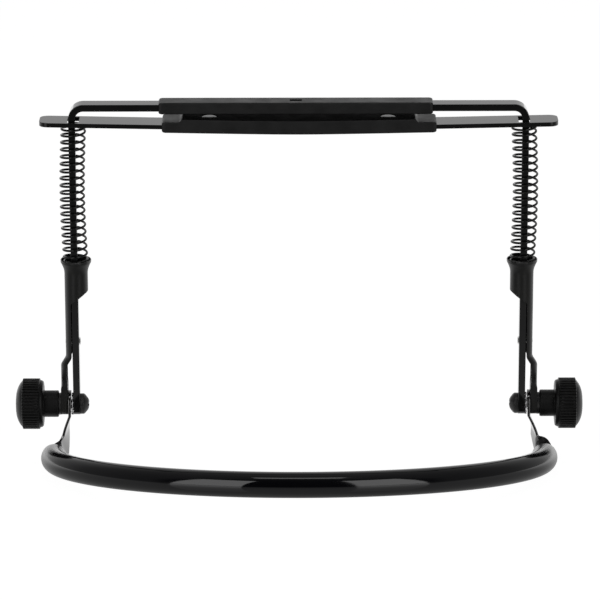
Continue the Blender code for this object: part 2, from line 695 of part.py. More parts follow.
def spring_points(sign):
    """Middle line of one spring: close end turns, even pitch between, bent a little outward."""
    foot = LIP_Z - SPRING_FOOT
    head = LOWER_BAR_Z + bow(LEG_X) - TOUCH - WIRE_D / 2
    pitch = (head - foot - 2 * END_PITCH) / (TURNS - 2)
    radius = (SPRING_OD - WIRE_D) / 2
    points = []
    for i in range(TURNS * CURL_POINTS + 1):
        turn = i / CURL_POINTS
        z = foot + END_PITCH * min(turn, 1) + pitch * min(max(turn - 1, 0), TURNS - 2)
        z += END_PITCH * max(turn - TURNS + 1, 0)
        angle = 2 * math.pi * turn + math.pi / 2
        sideways = SPRING_SIDEWAYS * math.sin(math.pi * (z - foot) / (head - foot))
        x = sign * (TUBE_X + sideways) + radius * math.cos(angle)
        points.append(Vector((x, radius * math.sin(angle), z)))
    for end, before, place in ((points[0], points[1], 0), (points[-1], points[-2], len(points))):
        onward = (end - before) * Vector((1, 1, 0))
        points.insert(place + (place > 0), end + onward.normalized() * WIRE_D)
    return points


def least_gap(points):
    """Smallest space between one turn of a spring and the next."""
    near, far = CURL_POINTS // 2 + 1, 2 * CURL_POINTS
    spaces = [(a - b).length for i, a in enumerate(points) for b in points[i + near:i + far]]
    return min(spaces) - WIRE_D


def spring(side, sign):
    points = spring_points(sign)
    print(f"spring_{side} least gap to itself: {least_gap(points) / MM:.2f} mm")
    return finish(wire("spring_" + side, points, WIRE_D / 2, 1), SPRING_STEEL)


def yoke_plane(x, s):
    """Point of the yoke's plane, s from the pivot axis towards the wearer's nape."""
    return Vector((x, -s * math.cos(YOKE_TILT), s * math.sin(YOKE_TILT) - YOKE_DROP))


def yoke_bend(start):
    """Middle line of the yoke from one side to the other, from s = start."""
    deep = YOKE_REACH - YOKE_WIDEST
    points = []
    for i in range(YOKE_STEPS + 1):
        angle = math.pi * i / YOKE_STEPS
        across, along = math.cos(angle), math.sin(angle)
        x = YOKE_HALF_WIDE * math.copysign(abs(across) ** (2 / YOKE_FULLNESS), across)
        points.append(yoke_plane(x, YOKE_WIDEST + deep * along ** (2 / YOKE_FULLNESS)))
    return [yoke_plane(YOKE_HALF_WIDE, start)] + points + [yoke_plane(-YOKE_HALF_WIDE, start)]


def stadium(centre, along_width, along_thick, wide, thick, count=6):
    """Ring of a flattened tube: two half circles, apart by the difference of its two sizes."""
    step = math.pi / count
    radius = thick / 2 / math.cos(step / 2)
    ring = []
    for way in (1, -1):
        for i in range(count):
            angle = step * (i + 0.5) - math.pi / 2
            across = way * ((wide - thick) / 2 + radius * math.cos(angle))
            ring.append(centre + along_width * across + along_thick * way * radius * math.sin(angle))
    return ring


def bend_ring(angle, crimp_turn):
    """Section of the right end's bend, at this angle from straight down into the yoke's plane."""
    turned_by = math.pi / 2 + YOKE_TILT
    end_y = CORE_BEND_R * (math.cos(turned_by) - 1)
    top_z = end_y * -math.tan(YOKE_TILT) - YOKE_DROP + CORE_BEND_R * math.sin(turned_by)
    opening = smooth_step(angle / crimp_turn)
    wide = LUG_WIDE + (CORE_D - LUG_WIDE) * opening
    thick = LUG_THICK + (CORE_D - LUG_THICK) * opening
    inner = CORE_INNER_X + (YOKE_HALF_WIDE - CORE_D / 2 - CORE_INNER_X) * opening
    back, down = CORE_BEND_R * (math.cos(angle) - 1), CORE_BEND_R * math.sin(angle)
    centre = Vector((inner + thick / 2, back, top_z - down))
    across = Vector((0, math.cos(angle), -math.sin(angle)))
    return stadium(centre, across, Vector((1, 0, 0)), wide, thick)


def lug_rings(crimp_turn):
    """Right end of the yoke's core, from the lug's round top down into the yoke's plane."""
    depth, out = Vector((0, 1, 0)), Vector((1, 0, 0))
    middle = LUG_INNER_X + LUG_THICK / 2
    rings = []
    for share in (0.97, 0.85, 0.6, 0.3, 0):
        wide = LUG_WIDE * math.sqrt(1 - share * share)
        rings.append(stadium(Vector((middle, 0, LUG_WIDE / 2 * share)), depth, out, wide, LUG_THICK))
    rings.append(stadium(Vector((middle, 0, -LUG_STRAIGHT)), depth, out, LUG_WIDE, LUG_THICK))
    foot = Vector((CORE_INNER_X + LUG_THICK / 2, 0, LUG_FOOT_Z))
    rings.append(stadium(foot, depth, out, LUG_WIDE, LUG_THICK))
    part_turn = (math.pi / 2 + YOKE_TILT) / BEND_STEPS
    return rings + [bend_ring(part_turn * step, crimp_turn) for step in range(1, BEND_STEPS + 1)]


def mirrored(rings):
    return [[Vector((-point.x, point.y, point.z)) for point in ring] for ring in rings]


def yoke_core(pivot_holes):
    """Round steel yoke whose ends turn up and are crimped flat to fit the forks."""
    right = lug_rings(CRIMP_TURN["right"])
    left = mirrored(reversed(lug_rings(CRIMP_TURN["left"])))
    middle = []
    path = yoke_bend(SLEEVE_START)
    up = Vector((0, math.sin(YOKE_TILT), math.cos(YOKE_TILT)))
    for before, point, after in zip(path, path[1:], path[2:]):
        ahead = (after - before).normalized()
        middle.append(stadium(point, up, ahead.cross(up), CORE_D, CORE_D))

    def build(shape):
        previous = None
        for ring in right + middle + left:
            verts = [shape.verts.new(point) for point in ring]
            if previous:
                verts = matched(previous, verts)
                for i in range(len(verts)):
                    j = (i + 1) % len(verts)
                    shape.faces.new((previous[i], previous[j], verts[j], verts[i]))
            else:
                shape.faces.new(verts)
            previous = verts
        shape.faces.new(previous)

    return finish(cut(mesh_object("yoke_core", build), *pivot_holes), BLACK_PAINT)


def matched(previous, verts):
    """The ring's points in the order that faces each one with its neighbour in the ring before."""
    count = len(verts)
    orders = [[ring[(start + i) % count] for i in range(count)]
              for ring in (verts, verts[::-1]) for start in range(count)]
    centre_a = sum((v.co for v in previous), Vector()) / count
    centre_b = sum((v.co for v in verts), Vector()) / count

    def distance(order):
        return sum(((a.co - centre_a) - (b.co - centre_b)).length for a, b in zip(previous, order))

    return min(orders, key=distance)


def yoke_sleeve():
    """Vinyl tube over the yoke's whole bend."""
    path = yoke_bend(SLEEVE_START)
    outer = applied(wire("yoke_sleeve", path, SLEEVE_OD / 2, 5))
    start = path[0] + (path[0] - path[1]).normalized() * MM
    end = path[-1] + (path[-1] - path[-2]).normalized() * MM
    bore = applied(wire("yoke_sleeve_bore", [start, *path[1:-1], end], SLEEVE_BORE / 2, 4, cutters))
    bore.hide_render = True
    return finish(cut(outer, bore), VINYL)


def build_holder():
    inside, outside = LEG_INNER_X - 3 * MM, HUB_X + MM
    rivet_r = RIVET_D / 2 + SNUG
    holes, rivet_holes = [], []
    for side, sign in SIDES:
        ends = sign * inside, sign * outside
        holes.append(rod_along_x("pivot_hole_" + side, *ends, HOLE_D / 2, sides=16))
        rivet_holes.append(rod_along_x("rivet_hole_" + side, *ends, rivet_r, RIVET_Z, 12))
    end_cut = prong_end_cutter()
    clamp_frame(holes, rivet_holes, end_cut)
    upper_pad_sleeve()
    pad_holes = [pad_rivet_hole(side, sign) for side, sign in SIDES]
    lower_clamp_bar(pad_holes)
    lower_pad_sleeve(pad_holes)
    for (side, sign), hole, rivet_hole in zip(SIDES, holes, rivet_holes):
        arm_tube(side, sign, hole, rivet_hole, end_cut)
        arm_rivet(side, sign)
        pad_rivet(side, sign)
        spring(side, sign)
        pivot_bolt(side, sign)
        toothed_washer(side, sign)
        thrust_washer(side, sign)
        knob(side, sign)
        knob_insert(side, sign)
    yoke_core(holes)
    yoke_sleeve()


def move_origin_to_neck():
    """Hangs everything on one empty, placed so that the sleeve's inner side at its middle is the origin."""
    neck = yoke_plane(0, YOKE_REACH - SLEEVE_OD / 2)
    seat = bpy.data.objects.new("neck_rest", None)
    parts.objects.link(seat)
    for obj in [*parts.objects, *cutters.objects]:
        if obj is not seat:
            obj.parent = seat
    seat.location = -neck
    bpy.context.view_layer.update()


build_holder()
move_origin_to_neck()
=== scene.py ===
import json
import math

import bmesh
import bpy
from mathutils import Matrix, Vector

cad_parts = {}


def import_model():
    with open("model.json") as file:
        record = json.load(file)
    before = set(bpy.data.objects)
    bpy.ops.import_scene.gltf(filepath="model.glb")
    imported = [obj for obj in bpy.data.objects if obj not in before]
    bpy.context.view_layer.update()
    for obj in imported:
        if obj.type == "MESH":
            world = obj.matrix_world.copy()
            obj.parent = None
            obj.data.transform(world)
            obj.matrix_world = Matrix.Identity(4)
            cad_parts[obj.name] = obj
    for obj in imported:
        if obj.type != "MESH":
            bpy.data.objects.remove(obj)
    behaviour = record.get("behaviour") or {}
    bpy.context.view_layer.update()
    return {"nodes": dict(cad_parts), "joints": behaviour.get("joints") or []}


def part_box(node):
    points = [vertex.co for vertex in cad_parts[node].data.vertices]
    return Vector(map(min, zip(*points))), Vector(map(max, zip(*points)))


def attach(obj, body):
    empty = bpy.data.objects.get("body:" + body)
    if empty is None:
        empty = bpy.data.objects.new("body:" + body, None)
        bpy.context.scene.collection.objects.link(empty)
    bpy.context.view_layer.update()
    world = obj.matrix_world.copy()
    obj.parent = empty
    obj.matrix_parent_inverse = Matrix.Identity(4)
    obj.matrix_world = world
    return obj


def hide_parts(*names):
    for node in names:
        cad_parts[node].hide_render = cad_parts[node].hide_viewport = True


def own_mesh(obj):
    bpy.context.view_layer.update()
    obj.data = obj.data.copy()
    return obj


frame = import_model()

# Everything is laid out from the middle of the pivot axis, in metres, and moved to its place at the end
MM = 0.001
PIVOT = Vector(next(joint["pos_m"] for joint in frame["joints"] if joint["name"] == "clamp_tilt"))
SIDES = (("left", -1), ("right", 1))

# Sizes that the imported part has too
STRIP_THICK = 2.92 * MM
STRIP_DEEP = 7.5 * MM
STRIP_CORNER = 0.3 * MM
LEG_X = 94.75 * MM
BAR_TOP_Z = 132.6 * MM
BEND_INNER = 3.3 * MM
BOLT_D = 4.0 * MM
HOLE_D = 4.4 * MM
PRONG_END_R = 4.6 * MM
TUBE_X = LEG_X - 0.55 * MM
TUBE_OD = 9.9 * MM
TUBE_WALL = 0.5 * MM
LIP_OD = 13.0 * MM
LIP_WALL = 0.4 * MM
LIP_Z = 64.5 * MM
LIP_TALL = 1.0 * MM
FLARE_TALL = 5.0 * MM
CUT_TOP_Z = 50.8 * MM
CUT_FOOT_Z = 44.6 * MM
FORK_Z = 22.3 * MM
JOG = 2.2 * MM
JOG_TALL = 5.0 * MM
PRESSED_Z = 8.0 * MM
PRESSED_THICK = 2.85 * MM
PRESSING_TALL = 4.0 * MM
RIVET_Z = 28.1 * MM
TOUCH = 0.3 * MM
SNUG = 0.15 * MM
SEATED = 0.03 * MM
UPPER_PAD_LONG = 114.4 * MM
UPPER_PAD_X = -1.2 * MM
UPPER_PAD_TALL = 5.0 * MM
UPPER_PAD_DEEP = 9.1 * MM
LOWER_BAR_LONG = 216.7 * MM
LOWER_BAR_DEEP = 12.5 * MM
LOWER_BAR_THICK = 1.85 * MM
LOWER_BAR_CORNER = 3.5 * MM
SLOT_INWARD = 1.5 * MM
SLOT_OUTWARD = 0.4 * MM
SLOT_DEEP_PLAY = 2.0 * MM
BOW = 1.85 * MM
BOW_ROUND = 15.0 * MM
LOWER_PAD_LONG = 114.5 * MM
LOWER_PAD_X = 0.2 * MM
LOWER_PAD_WALL = 1.35 * MM
LOWER_PAD_SIDE = 0.85 * MM
RISE_LONG = 97.0 * MM
RISE_SLOPE = 1.6 * MM
RISE_TALL = 1.3 * MM
PAD_EDGE = 0.5 * MM
PAD_END_ROUND = 1.6 * MM
PAD_END_DRAWN = (0.45 * MM, 0.70 * MM)
JAW_GAP = 1.6 * MM
JAW_GAP_X = 47.0 * MM
PAD_RIVET_X = 37.4 * MM
PAD_RIVET_D = 2.6 * MM
PAD_RIVET_HEAD_D = 6.6 * MM
PAD_RIVET_HEAD_TALL = 0.5 * MM
PAD_RIVET_SUNK = 0.1 * MM
SPRING_OD = 10.9 * MM
WIRE_D = 1.0 * MM
TURNS = 20
END_PITCH = 1.6 * MM
SPRING_SIDEWAYS = 1.0 * MM
SPRING_FOOT = 1.2 * MM
WASHER_D = 9.4 * MM
WASHER_THICK = 0.9 * MM
HUB_D = 11.4 * MM
HUB_LONG = 6.5 * MM
KNOB_D = 21.6 * MM
KNOB_SHOULDER_D = 20.2 * MM
KNOB_SHOULDER = 1.5 * MM
RIB_BAND = 7.3 * MM
RIBS = 48
RIB_DEEP = 0.6 * MM
KNOB_DOME = 3.0 * MM
DOME_FLATNESS = 3.2
DOME_ROUNDING = 0.95
INSERT_D = 7.6 * MM
INSERT_LONG = 9.5 * MM
YOKE_HALF_WIDE = 104.35 * MM
YOKE_REACH = 85.6 * MM
YOKE_WIDEST = 13.0 * MM
YOKE_FULLNESS = 2.0
YOKE_TILT = math.radians(10.5)
YOKE_DROP = 22.0 * MM
CORE_D = 7.8 * MM
LUG_THICK = 1.2 * MM
LUG_WIDE = 11.6 * MM
LUG_INNER_X = 97.16 * MM
LUG_STRAIGHT = 4.0 * MM
LUG_FOOT_Z = -13.0 * MM
LUG_FOOT_X = {"left": 99.9 * MM, "right": 100.8 * MM}
LUG_EDGE = 0.45
CORE_BEND_R = 8.0 * MM
CRIMP = {"left": (math.radians(56), math.radians(100), 2.0), "right": (math.radians(16), math.radians(70), 0.6)}
LUG_TWIST = math.radians(8)
BEND_TWIST = math.radians(18)
SLEEVE_OD = 10.8 * MM
SLEEVE_BORE = 8.6 * MM
SLEEVE_START = 11.5 * MM
DULL_Y = (-52.0 * MM, -16.0 * MM)

# Places along X of the pivot stack, and heights of the jaws
LEG_INNER_X = LEG_X - STRIP_THICK / 2
LEG_OUTER_X = LEG_X + STRIP_THICK / 2
CUT_X = LEG_OUTER_X + TOUCH
PRONG_OUTER_X = TUBE_X + TUBE_OD / 2 + JOG
PRONG_INNER_X = PRONG_OUTER_X - PRESSED_THICK
WASHER_X = PRONG_OUTER_X + SNUG
HUB_X = WASHER_X + WASHER_THICK + SNUG
BAND_X = HUB_X + HUB_LONG + KNOB_SHOULDER
DOME_X = BAND_X + RIB_BAND
KNOB_END_X = DOME_X + KNOB_DOME
BAR_MIDDLE_Z = BAR_TOP_Z - STRIP_THICK / 2
JAW_Z = BAR_MIDDLE_Z - UPPER_PAD_TALL / 2


def bow(x):
    """How much higher the lower jaw is at x than in its middle."""
    half = LOWER_BAR_LONG / 2
    rise = math.hypot(x, BOW_ROUND) - BOW_ROUND
    return BOW * rise / (math.hypot(half, BOW_ROUND) - BOW_ROUND)


LOWER_BAR_Z = JAW_Z - JAW_GAP - bow(JAW_GAP_X) - RISE_TALL - LOWER_PAD_WALL - LOWER_BAR_THICK
PAD_FACE_Z = LOWER_BAR_Z + LOWER_BAR_THICK + LOWER_PAD_WALL + RISE_TALL + bow(PAD_RIVET_X)


def smooth_step(value):
    value = min(max(value, 0.0), 1.0)
    return value * value * (3 - 2 * value)


# Modelling tools

def only(obj):
    """Deselects everything else and makes this piece the active one."""
    if bpy.context.object and bpy.context.object.mode != "OBJECT":
        bpy.ops.object.mode_set(mode="OBJECT")
    for other in bpy.context.selected_objects:
        other.select_set(False)
    obj.select_set(True)
    bpy.context.view_layer.objects.active = obj
    return obj


def nothing_selected():
    if bpy.context.object and bpy.context.object.mode != "OBJECT":
        bpy.ops.object.mode_set(mode="OBJECT")
    bpy.ops.object.select_all(action="DESELECT")


def pick(obj, kind, wanted):
    """In edit mode, selects the points, edges or faces that the test wants."""
    modes = {"VERT": (True, False, False), "EDGE": (False, True, False), "FACE": (False, False, True)}
    bpy.context.tool_settings.mesh_select_mode = modes[kind]
    shape = bmesh.from_edit_mesh(obj.data)
    for face in shape.faces:
        face.select_set(False)
    for edge in shape.edges:
        edge.select_set(False)
    for vert in shape.verts:
        vert.select_set(False)
    items = {"VERT": shape.verts, "EDGE": shape.edges, "FACE": shape.faces}[kind]
    for item in items:
        if wanted(item):
            item.select_set(True)
    shape.select_flush_mode()
    bmesh.update_edit_mesh(obj.data)


def middle_of(edge):
    return (edge.verts[0].co + edge.verts[1].co) / 2


def along(edge):
    return (edge.verts[1].co - edge.verts[0].co).normalized()


def cube(name, low, high):
    nothing_selected()
    low, high = Vector(low), Vector(high)
    bpy.ops.mesh.primitive_cube_add(size=1, location=(low + high) / 2, scale=high - low)
    obj = bpy.context.object
    obj.name = name
    bpy.ops.object.transform_apply(location=True, rotation=True, scale=True)
    return obj


def rod(name, x0, x1, radius, z=0.0, sides=48):
    """A round bar along X."""
    nothing_selected()
    bpy.ops.mesh.primitive_cylinder_add(vertices=sides, radius=radius, depth=abs(x1 - x0),
                                        location=((x0 + x1) / 2, 0, z), rotation=(0, math.pi / 2, 0))
    obj = bpy.context.object
    obj.name = name
    bpy.ops.object.transform_apply(location=True, rotation=True, scale=True)
    return obj


def line(name, points):
    """Extrudes one point from place to place, and stays in edit mode."""
    nothing_selected()
    bpy.ops.mesh.primitive_plane_add(size=2 * MM, location=points[0])
    obj = bpy.context.object
    obj.name = name
    bpy.ops.object.transform_apply(location=True)
    bpy.context.tool_settings.mesh_select_mode = (True, False, False)
    bpy.ops.object.mode_set(mode="EDIT")
    bpy.ops.mesh.select_all(action="SELECT")
    bpy.ops.mesh.merge(type="CENTER")
    for before, after in zip(points, points[1:]):
        step = Vector(after) - Vector(before)
        bpy.ops.mesh.extrude_vertices_move(TRANSFORM_OT_translate={"value": step})
    return obj


def spun(name, profile, centre, axis, steps):
    """Spins a line of points once round."""
    obj = line(name, profile)
    bpy.ops.mesh.select_all(action="SELECT")
    bpy.ops.mesh.spin(steps=steps, angle=2 * math.pi, center=centre, axis=axis)
    bpy.ops.mesh.select_all(action="SELECT")
    bpy.ops.mesh.remove_doubles(threshold=0.002 * MM)
    bpy.ops.mesh.normals_make_consistent(inside=False)
    bpy.ops.object.mode_set(mode="OBJECT")
    return obj


def spun_on_pivot(name, sign, profile, steps=64):
    """Spins a profile of (distance out along the pivot axis, radius)."""
    points = [(sign * x, 0, radius) for x, radius in profile]
    return spun(name, points, (0, 0, 0), (1, 0, 0), steps)


def turned_on_end(name, x, profile, steps=64):
    """Spins a profile of (radius, height) round an upright axis."""
    return spun(name, [(x + radius, 0, z) for radius, z in profile], (x, 0, 0), (0, 0, 1), steps)


def plate(name, outline, depth):
    """Fills a closed outline and extrudes it by the depth vector."""
    obj = line(name, [*outline, outline[0]])
    bpy.ops.mesh.select_all(action="SELECT")
    bpy.ops.mesh.remove_doubles(threshold=0.002 * MM)
    bpy.ops.mesh.edge_face_add()
    bpy.ops.mesh.extrude_region_move(TRANSFORM_OT_translate={"value": Vector(depth)})
    bpy.ops.mesh.select_all(action="SELECT")
    bpy.ops.mesh.normals_make_consistent(inside=False)
    bpy.ops.object.mode_set(mode="OBJECT")
    return obj


def swept(name, rings, capped=True):
    """Takes a loop of points from section to section by extruding its edge."""
    nothing_selected()
    bpy.ops.mesh.primitive_circle_add(vertices=len(rings[0]), radius=MM)
    obj = bpy.context.object
    obj.name = name
    bpy.ops.object.mode_set(mode="EDIT")
    bpy.context.tool_settings.mesh_select_mode = (False, True, False)
    bpy.ops.mesh.select_all(action="SELECT")
    shape = bmesh.from_edit_mesh(obj.data)
    shape.verts.ensure_lookup_table()
    for vert, place in zip(shape.verts, rings[0]):
        vert.co = place
    for before, after in zip(rings, rings[1:]):
        bpy.ops.mesh.extrude_edges_move()
        shape = bmesh.from_edit_mesh(obj.data)
        for vert in shape.verts:
            if vert.select:
                number = min(range(len(before)), key=lambda i: (vert.co - before[i]).length_squared)
                vert.co = after[number]
    bmesh.update_edit_mesh(obj.data)
    if capped:
        bpy.ops.mesh.edge_face_add()
        pick(obj, "EDGE", lambda edge: edge.is_boundary)
        bpy.ops.mesh.edge_face_add()
    bpy.ops.mesh.select_all(action="SELECT")
    bpy.ops.mesh.normals_make_consistent(inside=False)
    bpy.ops.object.mode_set(mode="OBJECT")
    return obj


def bisect(obj, places, axis):
    """Cuts a piece across at each place along X, Y or Z, in edit mode."""
    for place in places:
        point, normal = Vector(), Vector()
        point[axis] = place
        normal[axis] = 1
        bpy.ops.mesh.select_all(action="SELECT")
        bpy.ops.mesh.bisect(plane_co=point, plane_no=normal)


def spaced(low, high, count):
    return [low + (high - low) * i / count for i in range(1, count)]


def modify(obj, kind, **values):
    only(obj)
    modifier = obj.modifiers.new(kind.lower(), kind)
    for key, value in values.items():
        setattr(modifier, key, value)
    bpy.ops.object.modifier_apply(modifier=modifier.name)
    return obj


def soften(obj, width, angle=40, segments=2):
    """Rounds the sharp edges a little."""
    return modify(obj, "BEVEL", width=width, segments=segments, limit_method="ANGLE",
                  angle_limit=math.radians(angle), miter_outer="MITER_ARC", use_clamp_overlap=True)


def cut(obj, *tools, operation="DIFFERENCE"):
    for tool in tools:
        modify(obj, "BOOLEAN", operation=operation, object=tool, solver="EXACT")
        bpy.data.objects.remove(tool, do_unlink=True)
    return obj


def in_triangles(obj):
    """Merges points that have come together and splits every face, so that the next cut is clean."""
    only(obj)
    bpy.ops.object.mode_set(mode="EDIT")
    bpy.ops.mesh.select_all(action="SELECT")
    bpy.ops.mesh.remove_doubles(threshold=0.002 * MM)
    bpy.ops.mesh.dissolve_degenerate(threshold=0.001 * MM)
    bpy.ops.mesh.select_all(action="SELECT")
    bpy.ops.mesh.quads_convert_to_tris()
    bpy.ops.object.mode_set(mode="OBJECT")
    return obj


def finished(obj, body, node, material, angle=35):
    """Moves the piece's mesh to its place, smooths it, paints it and hands it to its body."""
    only(obj)
    bpy.ops.object.transform_apply(location=True, rotation=True, scale=True)
    obj.data.transform(Matrix.Translation(PIVOT))
    bpy.ops.object.shade_smooth_by_angle(angle=math.radians(angle))
    modify(obj, "WEIGHTED_NORMAL", keep_sharp=True)
    obj.data.materials.clear()
    obj.data.materials.append(material)
    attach(obj, body)
    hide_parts(node)
    return obj


def second_finish(obj, material, wanted):
    """Gives a second finish to the faces that the test wants, by their place and normal; on the jaw's face it is darker
    rubber as painted shade.
    """
    obj.data.materials.append(material)
    for face in obj.data.polygons:
        if wanted(face.center - PIVOT, face.normal):
            face.material_index = 1


# Shader tools

def add(tree, kind, **values):
    """A shader node; values name its properties or, where it has none of that name, its inputs."""
    made = tree.nodes.new(kind)
    for key, value in values.items():
        if key in made.inputs.keys():
            made.inputs[key].default_value = value
        elif hasattr(made, key):
            setattr(made, key, value)
        else:
            made.inputs[key.replace("_", " ")].default_value = value
    return made


def group(name, inputs, outputs):
    """An empty shader node group with named number sockets."""
    tree = bpy.data.node_groups.new(name, "ShaderNodeTree")
    for label, value in inputs.items():
        socket = tree.interface.new_socket(label, in_out="INPUT", socket_type="NodeSocketFloat")
        socket.default_value = value
    for label in outputs:
        tree.interface.new_socket(label, in_out="OUTPUT", socket_type="NodeSocketFloat")
    return tree, tree.nodes.new("NodeGroupInput"), tree.nodes.new("NodeGroupOutput")


def grain_group():
    """Fine surface grain: a height for bump, and a slower unevenness from 0 to 1."""
    tree, given, result = group("Surface grain", {"Scale": 2000, "Slow scale": 90, "Sharpness": 0.5},
                                ("Height", "Unevenness"))
    place = add(tree, "ShaderNodeTexCoord")
    fine = add(tree, "ShaderNodeTexNoise", Detail=4)
    slow = add(tree, "ShaderNodeTexNoise", Detail=3)
    tree.links.new(place.outputs["Object"], fine.inputs["Vector"])
    tree.links.new(place.outputs["Object"], slow.inputs["Vector"])
    tree.links.new(given.outputs["Scale"], fine.inputs["Scale"])
    tree.links.new(given.outputs["Slow scale"], slow.inputs["Scale"])
    tree.links.new(given.outputs["Sharpness"], fine.inputs["Roughness"])
    tree.links.new(fine.outputs["Fac"], result.inputs["Height"])
    spread = add(tree, "ShaderNodeMapRange")
    spread.inputs["From Min"].default_value = 0.3
    spread.inputs["From Max"].default_value = 0.7
    tree.links.new(slow.outputs["Fac"], spread.inputs["Value"])
    tree.links.new(spread.outputs["Result"], result.inputs["Unevenness"])
    return tree


def wear_group():
    """Mask of rubbed corners: sharp places of the mesh, broken up by noise."""
    tree, given, result = group("Rubbed corners", {"Amount": 0.5, "Scale": 300}, ("Mask",))
    shape = add(tree, "ShaderNodeNewGeometry")
    sharp = add(tree, "ShaderNodeMapRange")
    sharp.inputs["From Min"].default_value = 0.53
    sharp.inputs["From Max"].default_value = 0.66
    tree.links.new(shape.outputs["Pointiness"], sharp.inputs["Value"])
    place = add(tree, "ShaderNodeTexCoord")
    patches = add(tree, "ShaderNodeTexNoise", Detail=5)
    tree.links.new(place.outputs["Object"], patches.inputs["Vector"])
    tree.links.new(given.outputs["Scale"], patches.inputs["Scale"])
    broken = add(tree, "ShaderNodeMapRange")
    broken.inputs["From Min"].default_value = 0.42
    broken.inputs["From Max"].default_value = 0.62
    tree.links.new(patches.outputs["Fac"], broken.inputs["Value"])
    both = add(tree, "ShaderNodeMath", operation="MULTIPLY")
    tree.links.new(sharp.outputs["Result"], both.inputs[0])
    tree.links.new(broken.outputs["Result"], both.inputs[1])
    scaled = add(tree, "ShaderNodeMath", operation="MULTIPLY")
    tree.links.new(both.outputs[0], scaled.inputs[0])
    tree.links.new(given.outputs["Amount"], scaled.inputs[1])
    tree.links.new(scaled.outputs[0], result.inputs["Mask"])
    return tree


def dust_group():
    """Mask of fine dust that lies on what faces up."""
    tree, given, result = group("Settled dust", {"Amount": 0.3, "Scale": 400}, ("Mask",))
    shape = add(tree, "ShaderNodeNewGeometry")
    parts = add(tree, "ShaderNodeSeparateXYZ")
    tree.links.new(shape.outputs["Normal"], parts.inputs[0])
    facing = add(tree, "ShaderNodeMapRange")
    facing.inputs["From Min"].default_value = 0.2
    facing.inputs["From Max"].default_value = 1.0
    tree.links.new(parts.outputs["Z"], facing.inputs["Value"])
    place = add(tree, "ShaderNodeTexCoord")
    specks = add(tree, "ShaderNodeTexNoise", Detail=6, Roughness=0.7)
    tree.links.new(place.outputs["Object"], specks.inputs["Vector"])
    tree.links.new(given.outputs["Scale"], specks.inputs["Scale"])
    broken = add(tree, "ShaderNodeMapRange")
    broken.inputs["From Min"].default_value = 0.45
    broken.inputs["From Max"].default_value = 0.75
    tree.links.new(specks.outputs["Fac"], broken.inputs["Value"])
    both = add(tree, "ShaderNodeMath", operation="MULTIPLY")
    tree.links.new(facing.outputs["Result"], both.inputs[0])
    tree.links.new(broken.outputs["Result"], both.inputs[1])
    scaled = add(tree, "ShaderNodeMath", operation="MULTIPLY")
    tree.links.new(both.outputs[0], scaled.inputs[0])
    tree.links.new(given.outputs["Amount"], scaled.inputs[1])
    tree.links.new(scaled.outputs[0], result.inputs["Mask"])
    return tree


GRAIN, WEAR, DUST = grain_group(), wear_group(), dust_group()


def placed(tree, shared, **values):
    made = tree.nodes.new("ShaderNodeGroup")
    made.node_tree = shared
    for key, value in values.items():
        made.inputs[key.replace("_", " ")].default_value = value
    return made


def mixed(tree, mask, low, high):
    """Colour that goes from low to high with the mask; each is a colour or another mix's output."""
    mix = add(tree, "ShaderNodeMix", data_type="RGBA")
    tree.links.new(mask, mix.inputs["Factor"])
    for socket, colour in ((mix.inputs[6], low), (mix.inputs[7], high)):
        if isinstance(colour, tuple):
            socket.default_value = (*colour, 1)
        else:
            tree.links.new(colour, socket)
    return mix.outputs[2]


def ranged(tree, value, low, high):
    spread = add(tree, "ShaderNodeMapRange")
    spread.inputs["To Min"].default_value = low
    spread.inputs["To Max"].default_value = high
    tree.links.new(value, spread.inputs["Value"])
    return spread.outputs["Result"]


def surface(name, colour, shade, roughness, grain_scale, bump, metallic=0.0, worn=None, wear=0.0, dust=0.0,
            slow_scale=90, coat=0.0, ior=1.5):
    """A finish: two shades of its colour, uneven roughness, grain, rubbed corners and dust."""
    made = bpy.data.materials.new(name)
    made.use_nodes = True
    tree = made.node_tree
    shader = tree.nodes["Principled BSDF"]
    grain = placed(tree, GRAIN, Scale=grain_scale, Slow_scale=slow_scale)
    base = mixed(tree, grain.outputs["Unevenness"], colour, shade)
    if worn:
        rubbed = placed(tree, WEAR, Amount=wear)
        base = mixed(tree, rubbed.outputs["Mask"], base, worn)
    if dust:
        settled = placed(tree, DUST, Amount=dust)
        base = mixed(tree, settled.outputs["Mask"], base, (0.30, 0.29, 0.28))
    tree.links.new(base, shader.inputs["Base Color"])
    tree.links.new(ranged(tree, grain.outputs["Unevenness"], *roughness), shader.inputs["Roughness"])
    shader.inputs["Metallic"].default_value = metallic
    shader.inputs["IOR"].default_value = ior
    shader.inputs["Coat Weight"].default_value = coat
    shader.inputs["Coat Roughness"].default_value = 0.08
    relief = add(tree, "ShaderNodeBump", Strength=1.0, Distance=bump)
    tree.links.new(grain.outputs["Height"], relief.inputs["Height"])
    tree.links.new(relief.outputs["Normal"], shader.inputs["Normal"])
    return made


def dull_ends(made, places, rough):
    """Raises a finish's roughness towards the back, between two places along Y."""
    tree = made.node_tree
    shader = tree.nodes["Principled BSDF"]
    smooth = shader.inputs["Roughness"].links[0].from_socket
    place = add(tree, "ShaderNodeTexCoord")
    parts = add(tree, "ShaderNodeSeparateXYZ")
    tree.links.new(place.outputs["Object"], parts.inputs[0])
    share = add(tree, "ShaderNodeMapRange", interpolation_type="SMOOTHSTEP")
    share.inputs["From Min"].default_value = PIVOT.y + places[0]
    share.inputs["From Max"].default_value = PIVOT.y + places[1]
    tree.links.new(parts.outputs["Y"], share.inputs["Value"])
    mix = add(tree, "ShaderNodeMix", data_type="FLOAT")
    tree.links.new(share.outputs["Result"], mix.inputs["Factor"])
    tree.links.new(smooth, mix.inputs[2])
    mix.inputs[3].default_value = rough
    tree.links.new(mix.outputs[0], shader.inputs["Roughness"])


